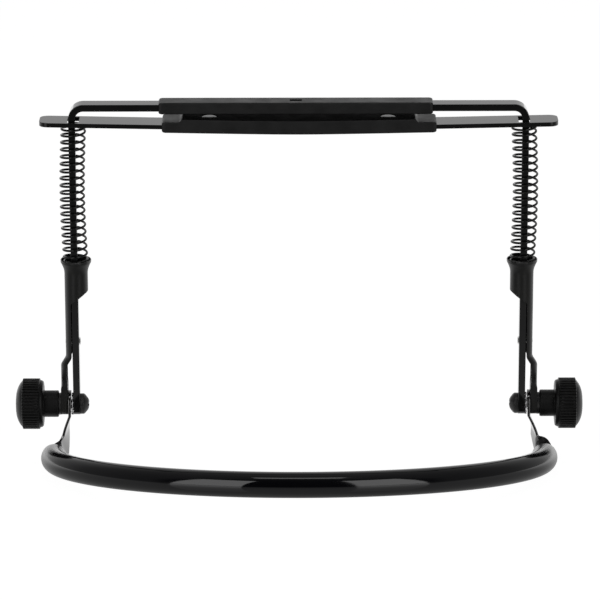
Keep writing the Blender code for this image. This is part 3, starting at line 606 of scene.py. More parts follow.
STRIP_PAINT = surface("gloss black strip", (0.006, 0.006, 0.006), (0.009, 0.009, 0.009), (0.04, 0.08), 700,
                      0.001 * MM, worn=(0.04, 0.04, 0.04), wear=0.3, dust=0.01)
TUBE_PAINT = surface("half gloss black tube", (0.008, 0.008, 0.008), (0.011, 0.011, 0.010), (0.34, 0.42), 1400,
                     0.004 * MM, worn=(0.02, 0.02, 0.02), wear=0.3, dust=0.008, ior=1.38)
LUG_PAINT = surface("gloss black tube end", (0.007, 0.007, 0.007), (0.010, 0.009, 0.009), (0.04, 0.08), 1400,
                    0.001 * MM, ior=2.2)
CRIMP_PAINT = surface("dull black crimp", (0.006, 0.006, 0.006), (0.012, 0.012, 0.012), (0.50, 0.65), 1800,
                      0.030 * MM, slow_scale=500, ior=1.3)
RUBBER = surface("moulded rubber", (0.011, 0.011, 0.011), (0.016, 0.016, 0.016), (0.40, 0.52), 2600,
                 0.008 * MM, worn=(0.03, 0.03, 0.03), wear=0.5, dust=0.01, slow_scale=120, ior=1.38)
# The jaw's raised face: duller rubber, and darker than the sleeve as painted shade of the gap under the upper pad.
FACE_RUBBER_PAINTED_SHADE = surface("dull rubber of the jaw's face with painted shade", (0.003, 0.003, 0.003), (0.005, 0.005, 0.005), (0.70, 0.85),
                      2600, 0.010 * MM, slow_scale=120, ior=1.08)
VINYL = surface("gloss vinyl", (0.003, 0.003, 0.004), (0.004, 0.004, 0.005), (0.04, 0.08), 260,
                0.002 * MM, dust=0.003, slow_scale=60)
dull_ends(VINYL, DULL_Y, 0.30)
PLASTIC = surface("moulded plastic", (0.004, 0.004, 0.004), (0.007, 0.007, 0.007), (0.34, 0.42), 3200,
                  0.006 * MM, worn=(0.02, 0.02, 0.02), wear=0.4, dust=0.006, slow_scale=150, ior=1.28)
WIRE = surface("blackened spring wire", (0.003, 0.003, 0.003), (0.006, 0.006, 0.005), (0.16, 0.24), 2200,
               0.002 * MM, worn=(0.02, 0.02, 0.02), wear=0.3, slow_scale=400, ior=1.38)
ZINC = surface("dark zinc plate", (0.018, 0.018, 0.019), (0.036, 0.035, 0.034), (0.30, 0.44), 1800,
               0.005 * MM, metallic=0.5, worn=(0.10, 0.10, 0.10), wear=0.4, slow_scale=300)
# Pale zinc of the lock washers, whitened to near white as a painted glint in place of the teeth's reflection.
ZINC_WITH_PAINTED_GLINT = surface("pale zinc with painted glint", (0.94, 0.94, 0.95), (0.88, 0.88, 0.89), (0.40, 0.50), 1800,
                      0.002 * MM, slow_scale=300)
RIVET_BLACK = surface("polished black rivet", (0.010, 0.010, 0.010), (0.014, 0.014, 0.014), (0.10, 0.14), 1500,
                      0.001 * MM, slow_scale=300, ior=1.28)
RIVET_STEEL = surface("plain steel rivet", (0.34, 0.34, 0.33), (0.46, 0.46, 0.45), (0.30, 0.40), 1600,
                      0.003 * MM, metallic=0.8, slow_scale=300)
BRASS = surface("turned brass", (0.55, 0.38, 0.14), (0.66, 0.48, 0.20), (0.28, 0.42), 1500,
                0.006 * MM, metallic=1.0, slow_scale=250)


# Clamp frame

def bend_sections(section):
    """Sections of the strip along the bar: right leg, bend, bar, bend, left leg."""
    centre_r = BEND_INNER + STRIP_THICK / 2
    corner = Vector((LEG_X - centre_r, 0, BAR_MIDDLE_Z - centre_r))
    stations = [(Vector((LEG_X, 0, z)), 0.0) for z in (-PRONG_END_R - MM, 0, 30 * MM, 60 * MM, 95 * MM)]
    for step in range(13):
        angle = math.pi / 2 * step / 12
        stations.append((corner + centre_r * Vector((math.cos(angle), 0, math.sin(angle))), angle))
    stations += [(Vector((x * MM, 0, BAR_MIDDLE_Z)), math.pi / 2) for x in (60, 30)]
    stations.append((Vector((0, 0, BAR_MIDDLE_Z)), math.pi / 2))
    stations += [(Vector((-place.x, 0, place.z)), math.pi - angle) for place, angle in reversed(stations[:-1])]
    rings = []
    for centre, angle in stations:
        out = Vector((math.cos(angle), 0, math.sin(angle)))
        rings.append([centre + out * across + Vector((0, deep, 0)) for across, deep in section])
    return rings


def rounded_section(wide, deep, corner, steps=4):
    points = []
    for quarter, (sx, sy) in enumerate(((1, 1), (-1, 1), (-1, -1), (1, -1))):
        for step in range(steps + 1):
            angle = math.pi / 2 * (quarter + step / steps)
            points.append((sx * (wide / 2 - corner) + corner * math.cos(angle),
                           sy * (deep / 2 - corner) + corner * math.sin(angle)))
    return points


def prong_end():
    """Everything under the pivot axis outside the prongs' round end."""
    reach = PRONG_OUTER_X + 5 * MM
    low = cube("prong_end_tool", (-reach, -12 * MM, -14 * MM), (reach, 12 * MM, 0))
    return cut(low, rod("prong_end_keep", -reach - MM, reach + MM, PRONG_END_R, sides=96))


def clamp_frame():
    section = rounded_section(STRIP_THICK, STRIP_DEEP, STRIP_CORNER)
    obj = swept("clamp_frame_strip", bend_sections(section))
    for _, sign in SIDES:
        cut(obj, rod("pivot_hole", sign * 90 * MM, sign * 98 * MM, HOLE_D / 2))
    cut(obj, prong_end())
    soften(obj, 0.12 * MM, 50)
    return finished(obj, "clamp", "clamp_frame", STRIP_PAINT)


# Outer prongs

def prong_levels():
    jog = [FORK_Z - JOG_TALL * i / 12 for i in range(13)]
    pressing = [PRESSED_Z + PRESSING_TALL * (1 - i / 8) for i in range(9)]
    return jog + pressing + [-PRONG_END_R - MM]


def cut_away(levels):
    """Prism that takes away the tube's inner side, in a slope that turns down beside the leg."""
    inner_x = TUBE_X - TUBE_OD / 2
    edge = [(inner_x - 2 * MM, CUT_TOP_Z + 0.6 * MM), (inner_x, CUT_TOP_Z), (inner_x + 1.2 * MM, CUT_TOP_Z - 0.7 * MM)]
    slope_start, slope_end = edge[-1], (CUT_X - 1.2 * MM, CUT_FOOT_Z + 2.0 * MM)
    edge.append(slope_end)
    for step in range(1, 7):
        angle = math.pi / 2 * step / 6
        edge.append((slope_end[0] + 1.2 * MM * math.sin(angle), CUT_FOOT_Z + 2.0 * MM * math.cos(angle)))
    edge += [(CUT_X, level) for level in levels]
    edge += [(CUT_X, levels[-1] - 2 * MM), (inner_x - 2 * MM, levels[-1] - 2 * MM)]
    outline = [(x, -12 * MM, z) for x, z in edge]
    return plate("cut_away_tool", outline, (0, 24 * MM, 0))


def press_prong(obj):
    """Jogs the tube's lower half outward and presses it flat round the bolt."""
    middle_r = (TUBE_OD - TUBE_WALL) / 2
    for vertex in obj.data.vertices:
        x, y, z = vertex.co
        if z > FORK_Z + 0.1 * MM:
            continue
        outer_skin = math.hypot(x - TUBE_X, y) > middle_r
        x += JOG * smooth_step((FORK_Z - z) / JOG_TALL)
        flat = PRONG_OUTER_X if outer_skin else PRONG_INNER_X
        x += (flat - x) * smooth_step((PRESSED_Z + PRESSING_TALL - z) / PRESSING_TALL)
        vertex.co.x = x


def arm_tube(side, sign, end_tool):
    outer_r, lip_r = TUBE_OD / 2, LIP_OD / 2
    levels = prong_levels()
    outer = [(lip_r - 0.15 * MM, LIP_Z, LIP_WALL - 0.3 * MM), (lip_r, LIP_Z - 0.15 * MM, LIP_WALL)]
    for step in range(11):
        share = step / 10
        radius = outer_r + (lip_r - outer_r) * (1 - math.sin(math.pi / 2 * share))
        wall = LIP_WALL + (TUBE_WALL - LIP_WALL) * share
        outer.append((radius, LIP_Z - LIP_TALL - FLARE_TALL * share, wall))
    outer += [(outer_r, z, TUBE_WALL) for z in [50 * MM, 36 * MM] + levels]
    profile = [(radius, z) for radius, z, _ in outer] + [(radius - wall, z) for radius, z, wall in reversed(outer)]
    profile.append(profile[0])
    points = [(TUBE_X + radius, 0, z) for radius, z in profile]
    obj = spun("arm_tube_" + side + "_shell", points, (TUBE_X, 0, 0), (0, 0, 1), 72)
    cut(obj, cut_away(levels))
    press_prong(obj)
    in_triangles(obj)
    cut(obj, rod("pivot_hole", 97 * MM, 104 * MM, HOLE_D / 2))
    only(end_tool)
    bpy.ops.object.duplicate()
    cut(obj, bpy.context.object)
    soften(obj, 0.12 * MM, 45)
    if sign < 0:
        turn_over(obj)
    finished(obj, "clamp", "arm_tube_" + side, TUBE_PAINT, 30)
    second_finish(obj, STRIP_PAINT, lambda place, _: place.z > LIP_Z - 0.7 * MM)
    return obj


def turn_over(obj):
    """Mirrors a right-hand piece to the left."""
    only(obj)
    obj.scale.x = -1
    bpy.ops.object.transform_apply(location=False, rotation=False, scale=True)
    bpy.ops.object.mode_set(mode="EDIT")
    bpy.ops.mesh.select_all(action="SELECT")
    bpy.ops.mesh.normals_make_consistent(inside=False)
    bpy.ops.object.mode_set(mode="OBJECT")
    return obj


def arm_rivet(side, sign):
    face, head, tall, shank = LEG_INNER_X - SNUG, 1.7 * MM, 0.4 * MM, 1.0 * MM
    end = TUBE_X + TUBE_OD / 2 + 0.03 * MM
    profile = [(face - tall, 0)]
    for step in range(1, 9):
        angle = math.pi / 2 * step / 8
        profile.append((face - tall * math.cos(angle), head * math.sin(angle)))
    profile += [(face, shank), (end - 0.1 * MM, shank), (end, shank - 0.15 * MM), (end, 0)]
    points = [(sign * x, 0, RIVET_Z + radius) for x, radius in profile]
    obj = spun("arm_rivet_" + side + "_head", points, (0, 0, RIVET_Z), (1, 0, 0), 40)
    return finished(obj, "clamp", "arm_rivet_" + side, RIVET_STEEL)


# Pivot hardware

def pivot_bolt(side, sign):
    """Pan head with a coned side and a cross recess, on a shank with a fine thread."""
    face, head, thick = LEG_INNER_X - SEATED, 4.4 * MM, 3.6 * MM
    tip = HUB_X + INSERT_LONG
    profile = [(face - thick, 0), (face - thick, 1.2 * MM), (face - 3.5 * MM, 1.75 * MM), (face - 3.1 * MM, 2.6 * MM),
               (face - 2.1 * MM, 3.85 * MM), (face - 1.6 * MM, 4.25 * MM), (face - 1.3 * MM, head)]
    profile += [(face - 0.12 * MM, head), (face, head - 0.12 * MM), (face, BOLT_D / 2)]
    crest, root, pitch = BOLT_D / 2, BOLT_D / 2 - 0.25 * MM, 0.7 * MM
    start = PRONG_OUTER_X
    for turn in range(int((tip - 0.5 * MM - start) / pitch)):
        profile += [(start + turn * pitch, crest), (start + (turn + 0.5) * pitch, root)]
    profile += [(tip - 0.4 * MM, crest - 0.05 * MM), (tip, crest - 0.5 * MM), (tip, 0)]
    obj = spun_on_pivot("pivot_bolt_" + side + "_screw", sign, profile, 64)
    low_x, high_x = sorted((sign * (face - thick - MM), sign * (face - thick + 1.7 * MM)))
    for number, (half_y, half_z) in enumerate(((2.1 * MM, 0.5 * MM), (0.5 * MM, 2.1 * MM))):
        cut(obj, cube(f"recess_{number}", (low_x, -half_y, -half_z), (high_x, half_y, half_z)))
    soften(obj, 0.06 * MM, 55, 1)
    return finished(obj, "clamp", "pivot_bolt_" + side, ZINC)


def toothed_washer(side, sign):
    """Lock washer with twisted teeth, its near-white colour partly a painted glint."""
    disc, reach, thick, teeth = 7.0 * MM, 9.4 * MM, 0.36 * MM, 12
    x = sign * (LEG_OUTER_X + LUG_INNER_X) / 2
    outline = []
    for number in range(teeth):
        for radius, share in ((disc, 0.04), (reach, 0.16), (reach, 0.39), (reach, 0.62), (disc, 0.74)):
            angle = 2 * math.pi * (number + share) / teeth
            outline.append((x - thick / 2, radius / 2 * math.cos(angle), radius / 2 * math.sin(angle)))
    obj = plate("toothed_washer_" + side + "_ring", outline, (thick, 0, 0))
    cut(obj, rod("washer_hole", x - 2 * MM, x + 2 * MM, HOLE_D / 2))
    for vertex in obj.data.vertices:
        if math.hypot(vertex.co.y, vertex.co.z) > (disc + reach) / 4:
            share = math.atan2(vertex.co.z, vertex.co.y) / (2 * math.pi / teeth) % 1
            vertex.co.x += 0.21 * MM * (1 if share < 0.3 else -1 if share > 0.5 else 0)
    return finished(obj, "clamp", "toothed_washer_" + side, ZINC_WITH_PAINTED_GLINT, 20)


def thrust_washer(side, sign):
    outer, bore, edge = WASHER_D / 2, HOLE_D / 2, 0.12 * MM
    start, end = PRONG_OUTER_X + SEATED, HUB_X - SEATED
    profile = [(start, bore + edge), (start, outer - edge), (start + edge, outer), (end - edge, outer),
               (end, outer - edge), (end, bore + edge), (end - edge, bore), (start + edge, bore), (start, bore + edge)]
    obj = spun_on_pivot("thrust_washer_" + side + "_ring", sign, profile, 64)
    return finished(obj, "clamp", "thrust_washer_" + side, ZINC)


# Knobs

def knob(side, sign):
    """Turned body with a long hub; its rim is then drawn in between the ribs."""
    rim, shoulder, hub = KNOB_D / 2, KNOB_SHOULDER_D / 2, HUB_D / 2
    socket, deep = INSERT_D / 2 + TOUCH, INSERT_LONG + TOUCH
    round_off = 0.5 * MM
    profile = [(DOME_X + KNOB_DOME, 0)]
    for step in range(1, 17):
        share = math.sin(math.pi / 2 * step / 16)
        profile.append((DOME_X + KNOB_DOME * (1 - share ** DOME_FLATNESS) ** DOME_ROUNDING, shoulder * share))
    profile += [(DOME_X, rim - 0.25 * MM), (DOME_X - 0.15 * MM, rim), (DOME_X - 0.35 * MM, rim)]
    profile += [(DOME_X + (BAND_X - DOME_X) * i / 6, rim) for i in range(1, 6)]
    profile += [(BAND_X + 0.35 * MM, rim), (BAND_X + 0.15 * MM, rim), (BAND_X, rim - 0.25 * MM), (BAND_X, shoulder)]
    for step in range(1, 6):
        angle = math.pi / 2 * step / 5
        profile.append((BAND_X - KNOB_SHOULDER * math.sin(angle), shoulder - 0.9 * MM * (1 - math.cos(angle))))
    back = BAND_X - KNOB_SHOULDER
    for step in range(5):
        angle = math.pi / 2 * step / 4
        profile.append((back - 0.4 * MM + 0.4 * MM * math.cos(angle), hub + 0.4 * MM - 0.4 * MM * math.sin(angle)))
    for step in range(5):
        angle = math.pi / 2 * step / 4
        profile.append((HUB_X + round_off * (1 - math.sin(angle)), hub - round_off * (1 - math.cos(angle))))
    profile += [(HUB_X, socket + 0.3 * MM), (HUB_X + 0.3 * MM, socket), (HUB_X + deep, socket), (HUB_X + deep, 0)]
    obj = spun_on_pivot("knob_" + side + "_body", sign, profile, RIBS * 8)
    for vertex in obj.data.vertices:
        x, radius = abs(vertex.co.x), math.hypot(vertex.co.y, vertex.co.z)
        if BAND_X + 0.1 * MM < x < DOME_X - 0.1 * MM and radius > rim - 0.05 * MM:
            share = math.atan2(vertex.co.z, vertex.co.y) * RIBS / (2 * math.pi) % 1
            groove = smooth_step((abs(share - 0.5) * 2 - 0.40) / 0.38)
            end = min((x - BAND_X) / (0.6 * MM), (DOME_X - x) / (0.6 * MM), 1)
            drawn = 1 - RIB_DEEP * groove * smooth_step(end) / radius
            vertex.co.y *= drawn
            vertex.co.z *= drawn
    return finished(obj, "turning_knob_" + side, "knob_" + side, PLASTIC, 40)


# Jaws

def end_places(low_x, high_x):
    """Places near a sleeve's two ends where its rounding is shaped."""
    steps = [PAD_END_ROUND * (1 - math.sin(math.pi / 2 * step / 6)) for step in range(6)]
    return [low_x + step for step in steps] + [high_x - step for step in steps]


def round_ends(obj, low, high):
    """Draws a sleeve's outside in towards its ends, in a quarter ellipse."""
    centre, half = (Vector(low) + Vector(high)) / 2, (Vector(high) - Vector(low)) / 2
    for vertex in obj.data.vertices:
        share = 1 - (half.x - abs(vertex.co.x - centre.x)) / PAD_END_ROUND
        if share > 0:
            drawn = 1 - math.sqrt(max(1 - share * share, 0))
            for axis, most in zip((1, 2), PAD_END_DRAWN):
                vertex.co[axis] -= (vertex.co[axis] - centre[axis]) * most * drawn / half[axis]


def upper_pad():
    """Rubber sleeve with a window in its top, its faces a little uneven from moulding."""
    low = (UPPER_PAD_X - UPPER_PAD_LONG / 2, -UPPER_PAD_DEEP / 2, JAW_Z)
    high = (UPPER_PAD_X + UPPER_PAD_LONG / 2, UPPER_PAD_DEEP / 2, JAW_Z + UPPER_PAD_TALL)
    obj = cube("upper_pad_sleeve_rubber", low, high)
    bpy.ops.object.mode_set(mode="EDIT")
    pick(obj, "EDGE", lambda edge: abs(along(edge).x) > 0.9)
    bpy.ops.mesh.bevel(offset=PAD_EDGE, segments=4, affect="EDGES")
    bisect(obj, spaced(low[0], high[0], 40) + end_places(low[0], high[0]), 0)
    bpy.ops.object.mode_set(mode="OBJECT")
    round_ends(obj, low, high)
    half_deep, half_tall = STRIP_DEEP / 2 + SNUG, STRIP_THICK / 2 + SNUG
    reach = UPPER_PAD_LONG
    cut(obj, cube("upper_pad_bore", (-reach, -half_deep, BAR_MIDDLE_Z - half_tall),
                  (reach, half_deep, BAR_MIDDLE_Z + half_tall)),
        cube("upper_pad_window", (UPPER_PAD_X - 2.5 * MM, -1.45 * MM, BAR_MIDDLE_Z),
             (UPPER_PAD_X + 2.5 * MM, 1.45 * MM, JAW_Z + 2 * UPPER_PAD_TALL)))
    soften(obj, 0.15 * MM, 60)
    return finished(obj, "clamp", "upper_pad_sleeve", RUBBER, 40)


def lift_to_bow(obj):
    for vertex in obj.data.vertices:
        vertex.co.z += bow(vertex.co.x)


def lower_bar():
    """Flat bar with rounded corners and a slot for each leg."""
    half_long, half_deep = LOWER_BAR_LONG / 2, LOWER_BAR_DEEP / 2
    obj = cube("lower_clamp_bar_strip", (-half_long, -half_deep, LOWER_BAR_Z),
               (half_long, half_deep, LOWER_BAR_Z + LOWER_BAR_THICK))
    bpy.ops.object.mode_set(mode="EDIT")
    pick(obj, "EDGE", lambda edge: abs(along(edge).z) > 0.9)
    bpy.ops.mesh.bevel(offset=LOWER_BAR_CORNER, segments=8, affect="EDGES")
    bpy.ops.object.mode_set(mode="OBJECT")
    for _, sign in SIDES:
        inner, outer = sign * (LEG_INNER_X - SLOT_INWARD), sign * (LEG_OUTER_X + SLOT_OUTWARD)
        slot_half = (STRIP_DEEP + SLOT_DEEP_PLAY) / 2
        tool = cube("leg_slot", (min(inner, outer), -slot_half, LOWER_BAR_Z - MM),
                    (max(inner, outer), slot_half, LOWER_BAR_Z + 3 * MM))
        bpy.ops.object.mode_set(mode="EDIT")
        pick(tool, "EDGE", lambda edge: abs(along(edge).z) > 0.9)
        bpy.ops.mesh.bevel(offset=0.6 * MM, segments=4, affect="EDGES")
        bpy.ops.object.mode_set(mode="OBJECT")
        cut(obj, tool)
    soften(obj, 0.15 * MM, 50, 3)
    only(obj)
    bpy.ops.object.mode_set(mode="EDIT")
    bisect(obj, spaced(-half_long, half_long, 60), 0)
    bpy.ops.object.mode_set(mode="OBJECT")
    lift_to_bow(obj)
    for side, sign in SIDES:
        in_triangles(obj)
        cut(obj, pad_rivet_hole(side, sign))
    return finished(obj, "lower_jaw", "lower_clamp_bar", STRIP_PAINT, 40)


def lower_pad():
    """Rubber sleeve with a raised middle, pierced by two rivets; the middle's top is duller rubber whose darker colour
    is painted shade.
    """
    half_deep = LOWER_BAR_DEEP / 2 + LOWER_PAD_SIDE
    bottom, step_z = LOWER_BAR_Z - LOWER_PAD_WALL, LOWER_BAR_Z + LOWER_BAR_THICK + LOWER_PAD_WALL
    low_x, high_x = LOWER_PAD_X - LOWER_PAD_LONG / 2, LOWER_PAD_X + LOWER_PAD_LONG / 2
    obj = cube("lower_pad_sleeve_rubber", (low_x, -half_deep, bottom), (high_x, half_deep, step_z))
    bpy.ops.object.mode_set(mode="EDIT")
    pick(obj, "EDGE", lambda edge: abs(along(edge).x) > 0.9 and middle_of(edge).z < bottom + 0.01 * MM)
    bpy.ops.mesh.bevel(offset=PAD_EDGE, segments=4, affect="EDGES")
    pick(obj, "EDGE", lambda edge: abs(along(edge).x) > 0.9 and middle_of(edge).z > step_z - 0.01 * MM)
    bpy.ops.mesh.bevel(offset=0.3 * MM, segments=3, affect="EDGES")
    flat, foot = RISE_LONG / 2, RISE_LONG / 2 + RISE_SLOPE
    shares = (0, 0.15, 0.35, 0.65, 0.85, 1)
    bisect(obj, [sign * (flat + share * RISE_SLOPE) for share in shares for _, sign in SIDES], 0)
    bisect(obj, spaced(-flat, flat, 36), 0)
    bisect(obj, spaced(-half_deep, half_deep, 16), 1)
    bisect(obj, end_places(low_x, high_x), 0)
    bpy.ops.object.mode_set(mode="OBJECT")
    round_ends(obj, (low_x, -half_deep, bottom), (high_x, half_deep, step_z))
    for vertex in obj.data.vertices:
        if vertex.co.z > step_z - 0.5 * MM:
            rise = smooth_step((foot - abs(vertex.co.x)) / (foot - flat))
            vertex.co.z += RISE_TALL * rise
    bore_half = LOWER_BAR_DEEP / 2 + SNUG
    cut(obj, cube("lower_pad_bore", (-LOWER_PAD_LONG, -bore_half, LOWER_BAR_Z - SNUG),
                  (LOWER_PAD_LONG, bore_half, LOWER_BAR_Z + LOWER_BAR_THICK + SNUG)))
    soften(obj, 0.2 * MM, 60)
    lift_to_bow(obj)
    for side, sign in SIDES:
        in_triangles(obj)
        cut(obj, pad_rivet_hole(side, sign))
    finished(obj, "lower_jaw", "lower_pad_sleeve", RUBBER, 40)
    # The raised middle's top gets the darker rubber: painted shade of the gap between the jaws.
    second_finish(obj, FACE_RUBBER_PAINTED_SHADE, lambda place, normal: (
        normal.z > 0.9 and abs(place.x) < flat and place.z > step_z + RISE_TALL / 2))
    return obj


def pad_rivet_hole(side, sign):
    """Cutter for a rivet's hole, widened in the pad's face to take the head."""
    head, shank = PAD_RIVET_HEAD_D / 2 + SNUG, PAD_RIVET_D / 2 + SNUG
    seat = PAD_FACE_Z - PAD_RIVET_SUNK - PAD_RIVET_HEAD_TALL - SNUG
    top, end = PAD_FACE_Z + MM, LOWER_BAR_Z
    profile = [(0, top), (head, top), (head, seat), (shank, seat), (shank, end), (0, end)]
    obj = turned_on_end("pad_rivet_hole_" + side, PAD_RIVET_X, profile)
    return turn_over(obj) if sign < 0 else obj


def pad_rivet(side, sign):
    """Flat domed head sunk in the pad's face, on a shank through the lower bar."""
    head, shank = PAD_RIVET_HEAD_D / 2, PAD_RIVET_D / 2
    top = PAD_FACE_Z - PAD_RIVET_SUNK
    under, end = top - PAD_RIVET_HEAD_TALL, LOWER_BAR_Z + bow(PAD_RIVET_X) + SNUG
    flat = 0.35 * head
    profile = [(0, top), (flat, top)]
    for step in range(1, 11):
        share = step / 10
        profile.append((flat + (head - flat) * share, top - 0.38 * MM * (1 - math.sqrt(1 - 0.98 * share * share))))
    profile += [(head, under + 0.05 * MM), (head - 0.05 * MM, under), (shank, under), (shank, end), (0, end)]
    obj = turned_on_end("pad_rivet_" + side + "_head", sign * PAD_RIVET_X, profile)
    return finished(obj, "lower_jaw", "pad_rivet_" + side, RIVET_BLACK)


# Springs

def spring(side, sign):
    """Round wire wound by formula, its end turns close, bent a little outward in the middle."""
    foot = LIP_Z - SPRING_FOOT
    head = LOWER_BAR_Z + bow(LEG_X) - TOUCH - WIRE_D / 2
    pitch = (head - foot - 2 * END_PITCH) / (TURNS - 2)
    radius = (SPRING_OD - WIRE_D) / 2
    curl = 40
    points = []
    for i in range(TURNS * curl + 1):
        turn = i / curl
        z = foot + END_PITCH * min(turn, 1) + pitch * min(max(turn - 1, 0), TURNS - 2)
        z += END_PITCH * max(turn - TURNS + 1, 0)
        angle = 2 * math.pi * turn + math.pi / 2
        sideways = SPRING_SIDEWAYS * math.sin(math.pi * (z - foot) / (head - foot))
        points.append(Vector((sign * (TUBE_X + sideways) + radius * math.cos(angle), radius * math.sin(angle), z)))
    curve = bpy.data.curves.new("spring_" + side + "_wire", "CURVE")
    curve.dimensions = "3D"
    curve.bevel_depth = WIRE_D / 2
    curve.bevel_resolution = 4
    curve.use_fill_caps = True
    spline = curve.splines.new("POLY")
    spline.points.add(len(points) - 1)
    for target, point in zip(spline.points, points):
        target.co = (*point, 1)
    obj = bpy.data.objects.new("spring_" + side + "_wire", curve)
    bpy.context.scene.collection.objects.link(obj)
    only(obj)
    bpy.ops.object.convert(target="MESH")
    obj = bpy.context.object
    bpy.ops.object.mode_set(mode="EDIT")
    bpy.ops.mesh.select_all(action="SELECT")
    bpy.ops.mesh.remove_doubles(threshold=0.002 * MM)
    bpy.ops.mesh.normals_make_consistent(inside=False)
    bpy.ops.object.mode_set(mode="OBJECT")
    finished(obj, "clamp", "spring_" + side, WIRE, 50)
    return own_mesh(obj)


# Yoke

def yoke_plane(x, s):
    """Point of the yoke's plane, s from the pivot axis towards the wearer's nape."""
    return Vector((x, -s * math.cos(YOKE_TILT), s * math.sin(YOKE_TILT) - YOKE_DROP))


def yoke_bend(start, steps):
    deep = YOKE_REACH - YOKE_WIDEST
    points = []
    for i in range(steps + 1):
        angle = math.pi * i / steps
        across, out = math.cos(angle), math.sin(angle)
        x = YOKE_HALF_WIDE * math.copysign(abs(across) ** (2 / YOKE_FULLNESS), across)
        points.append(yoke_plane(x, YOKE_WIDEST + deep * out ** (2 / YOKE_FULLNESS)))
    return [yoke_plane(YOKE_HALF_WIDE, start)] + points + [yoke_plane(-YOKE_HALF_WIDE, start)]


def stadium(centre, across, out, wide, thick, count, edge=1.0):
    """Section of a flattened bar; its edges are half round, or squarer where edge is under 1."""
    ring = []
    for way in (1, -1):
        for i in range(count):
            angle = math.pi * (i + 0.5) / count - math.pi / 2
            over, aside = abs(math.cos(angle)) ** edge, math.copysign(abs(math.sin(angle)) ** edge, angle)
            ring.append(centre + across * way * ((wide - thick) / 2 + thick / 2 * over) + out * way * thick / 2 * aside)
    return ring


def twisted(across, out, turn):
    """The section's two directions, turned so that the lug's front edge stands outward."""
    return across * math.cos(turn) - out * math.sin(turn), out * math.cos(turn) + across * math.sin(turn)


def bend_ring(share, side, count):
    """Section in the bend, where the flat lug opens to the round bar, fast or slowly as the crimp says."""
    turned_by = math.pi / 2 + YOKE_TILT
    angle = turned_by * share
    end_y = CORE_BEND_R * (math.cos(turned_by) - 1)
    top_z = end_y * -math.tan(YOKE_TILT) - YOKE_DROP + CORE_BEND_R * math.sin(turned_by)
    crimp_start, crimp_end, shoulder = CRIMP[side]
    opened = min(max((angle - crimp_start) / (crimp_end - crimp_start), 0), 1)
    opening = math.sin(math.pi / 2 * opened) ** shoulder
    wide = LUG_WIDE + (CORE_D - LUG_WIDE) * opening
    thick = LUG_THICK + (CORE_D - LUG_THICK) * opening
    foot_x, core_x = LUG_FOOT_X[side] - LUG_THICK / 2, YOKE_HALF_WIDE - CORE_D / 2
    inner = foot_x + (core_x - foot_x) * smooth_step(share)
    centre = Vector((inner + thick / 2, CORE_BEND_R * (math.cos(angle) - 1), top_z - CORE_BEND_R * math.sin(angle)))
    across, out = twisted(Vector((0, math.cos(angle), -math.sin(angle))), Vector((1, 0, 0)),
                          LUG_TWIST + (BEND_TWIST - LUG_TWIST) * share)
    return stadium(centre, across, out, wide, thick, count, LUG_EDGE + (1 - LUG_EDGE) * opening)


def lug_rings(side, count):
    """Right end of the yoke's bar, from the lug's round top down into the yoke's plane."""
    depth, out = Vector((0, 1, 0)), Vector((1, 0, 0))
    middle = LUG_INNER_X + LUG_THICK / 2
    rings = []
    for step in range(12):
        share = math.cos(math.pi / 2 * (step + 0.6) / 12)
        wide = LUG_WIDE * math.sqrt(1 - share * share)
        centre = Vector((middle, 0, LUG_WIDE / 2 * share))
        rings.append(stadium(centre, depth, out, max(wide, LUG_THICK), LUG_THICK, count, LUG_EDGE))
    for step in range(9):
        share = step / 8
        z = -LUG_STRAIGHT + (LUG_FOOT_Z + LUG_STRAIGHT) * share
        x = middle + (LUG_FOOT_X[side] - middle) * (math.sin(math.pi / 2 * share) + share) / 2
        turned = twisted(depth, out, LUG_TWIST * share)
        rings.append(stadium(Vector((x, 0, z)), *turned, LUG_WIDE, LUG_THICK, count, LUG_EDGE))
    return rings + [bend_ring(step / 60, side, count) for step in range(4, 61)]


def yoke_core():
    """Round bar whose ends turn up and are crimped flat into lugs."""
    count = 20
    right = lug_rings("right", count)
    left = [[Vector((-p.x, p.y, p.z)) for p in ring] for ring in reversed(lug_rings("left", count))]
    path = yoke_bend(SLEEVE_START, 40)
    up = Vector((0, math.sin(YOKE_TILT), math.cos(YOKE_TILT)))
    middle = []
    for before, point, after in zip(path, path[1:], path[2:]):
        ahead = (after - before).normalized()
        middle.append(stadium(point, up, ahead.cross(up), CORE_D, CORE_D, count))
    rings = [right[0]]
    for ring in right[1:] + middle + left:
        rings.append(facing(rings[-1], ring))
    obj = swept("yoke_core_bar", rings)
    for _, sign in SIDES:
        cut(obj, rod("pivot_hole", sign * 95 * MM, sign * 100.5 * MM, HOLE_D / 2))
    soften(obj, 0.1 * MM, 60)
    finished(obj, "yoke", "yoke_core", LUG_PAINT, 40)
    second_finish(obj, CRIMP_PAINT, lambda place, normal: (
        place.z < LUG_FOOT_Z - MM and normal.x * math.copysign(1, place.x) > -0.4))
    return obj


def facing(before, ring):
    """The ring's points in the order that puts each one opposite its neighbour in the ring before."""
    count = len(ring)
    centre_a = sum(before, Vector()) / count
    centre_b = sum(ring, Vector()) / count
    best, best_apart = None, None
    for points in (ring, ring[::-1]):
        for start in range(count):
            order = points[start:] + points[:start]
            apart = sum(((a - centre_a) - (b - centre_b)).length for a, b in zip(before, order))
            if best is None or apart < best_apart:
                best, best_apart = order, apart
    return best


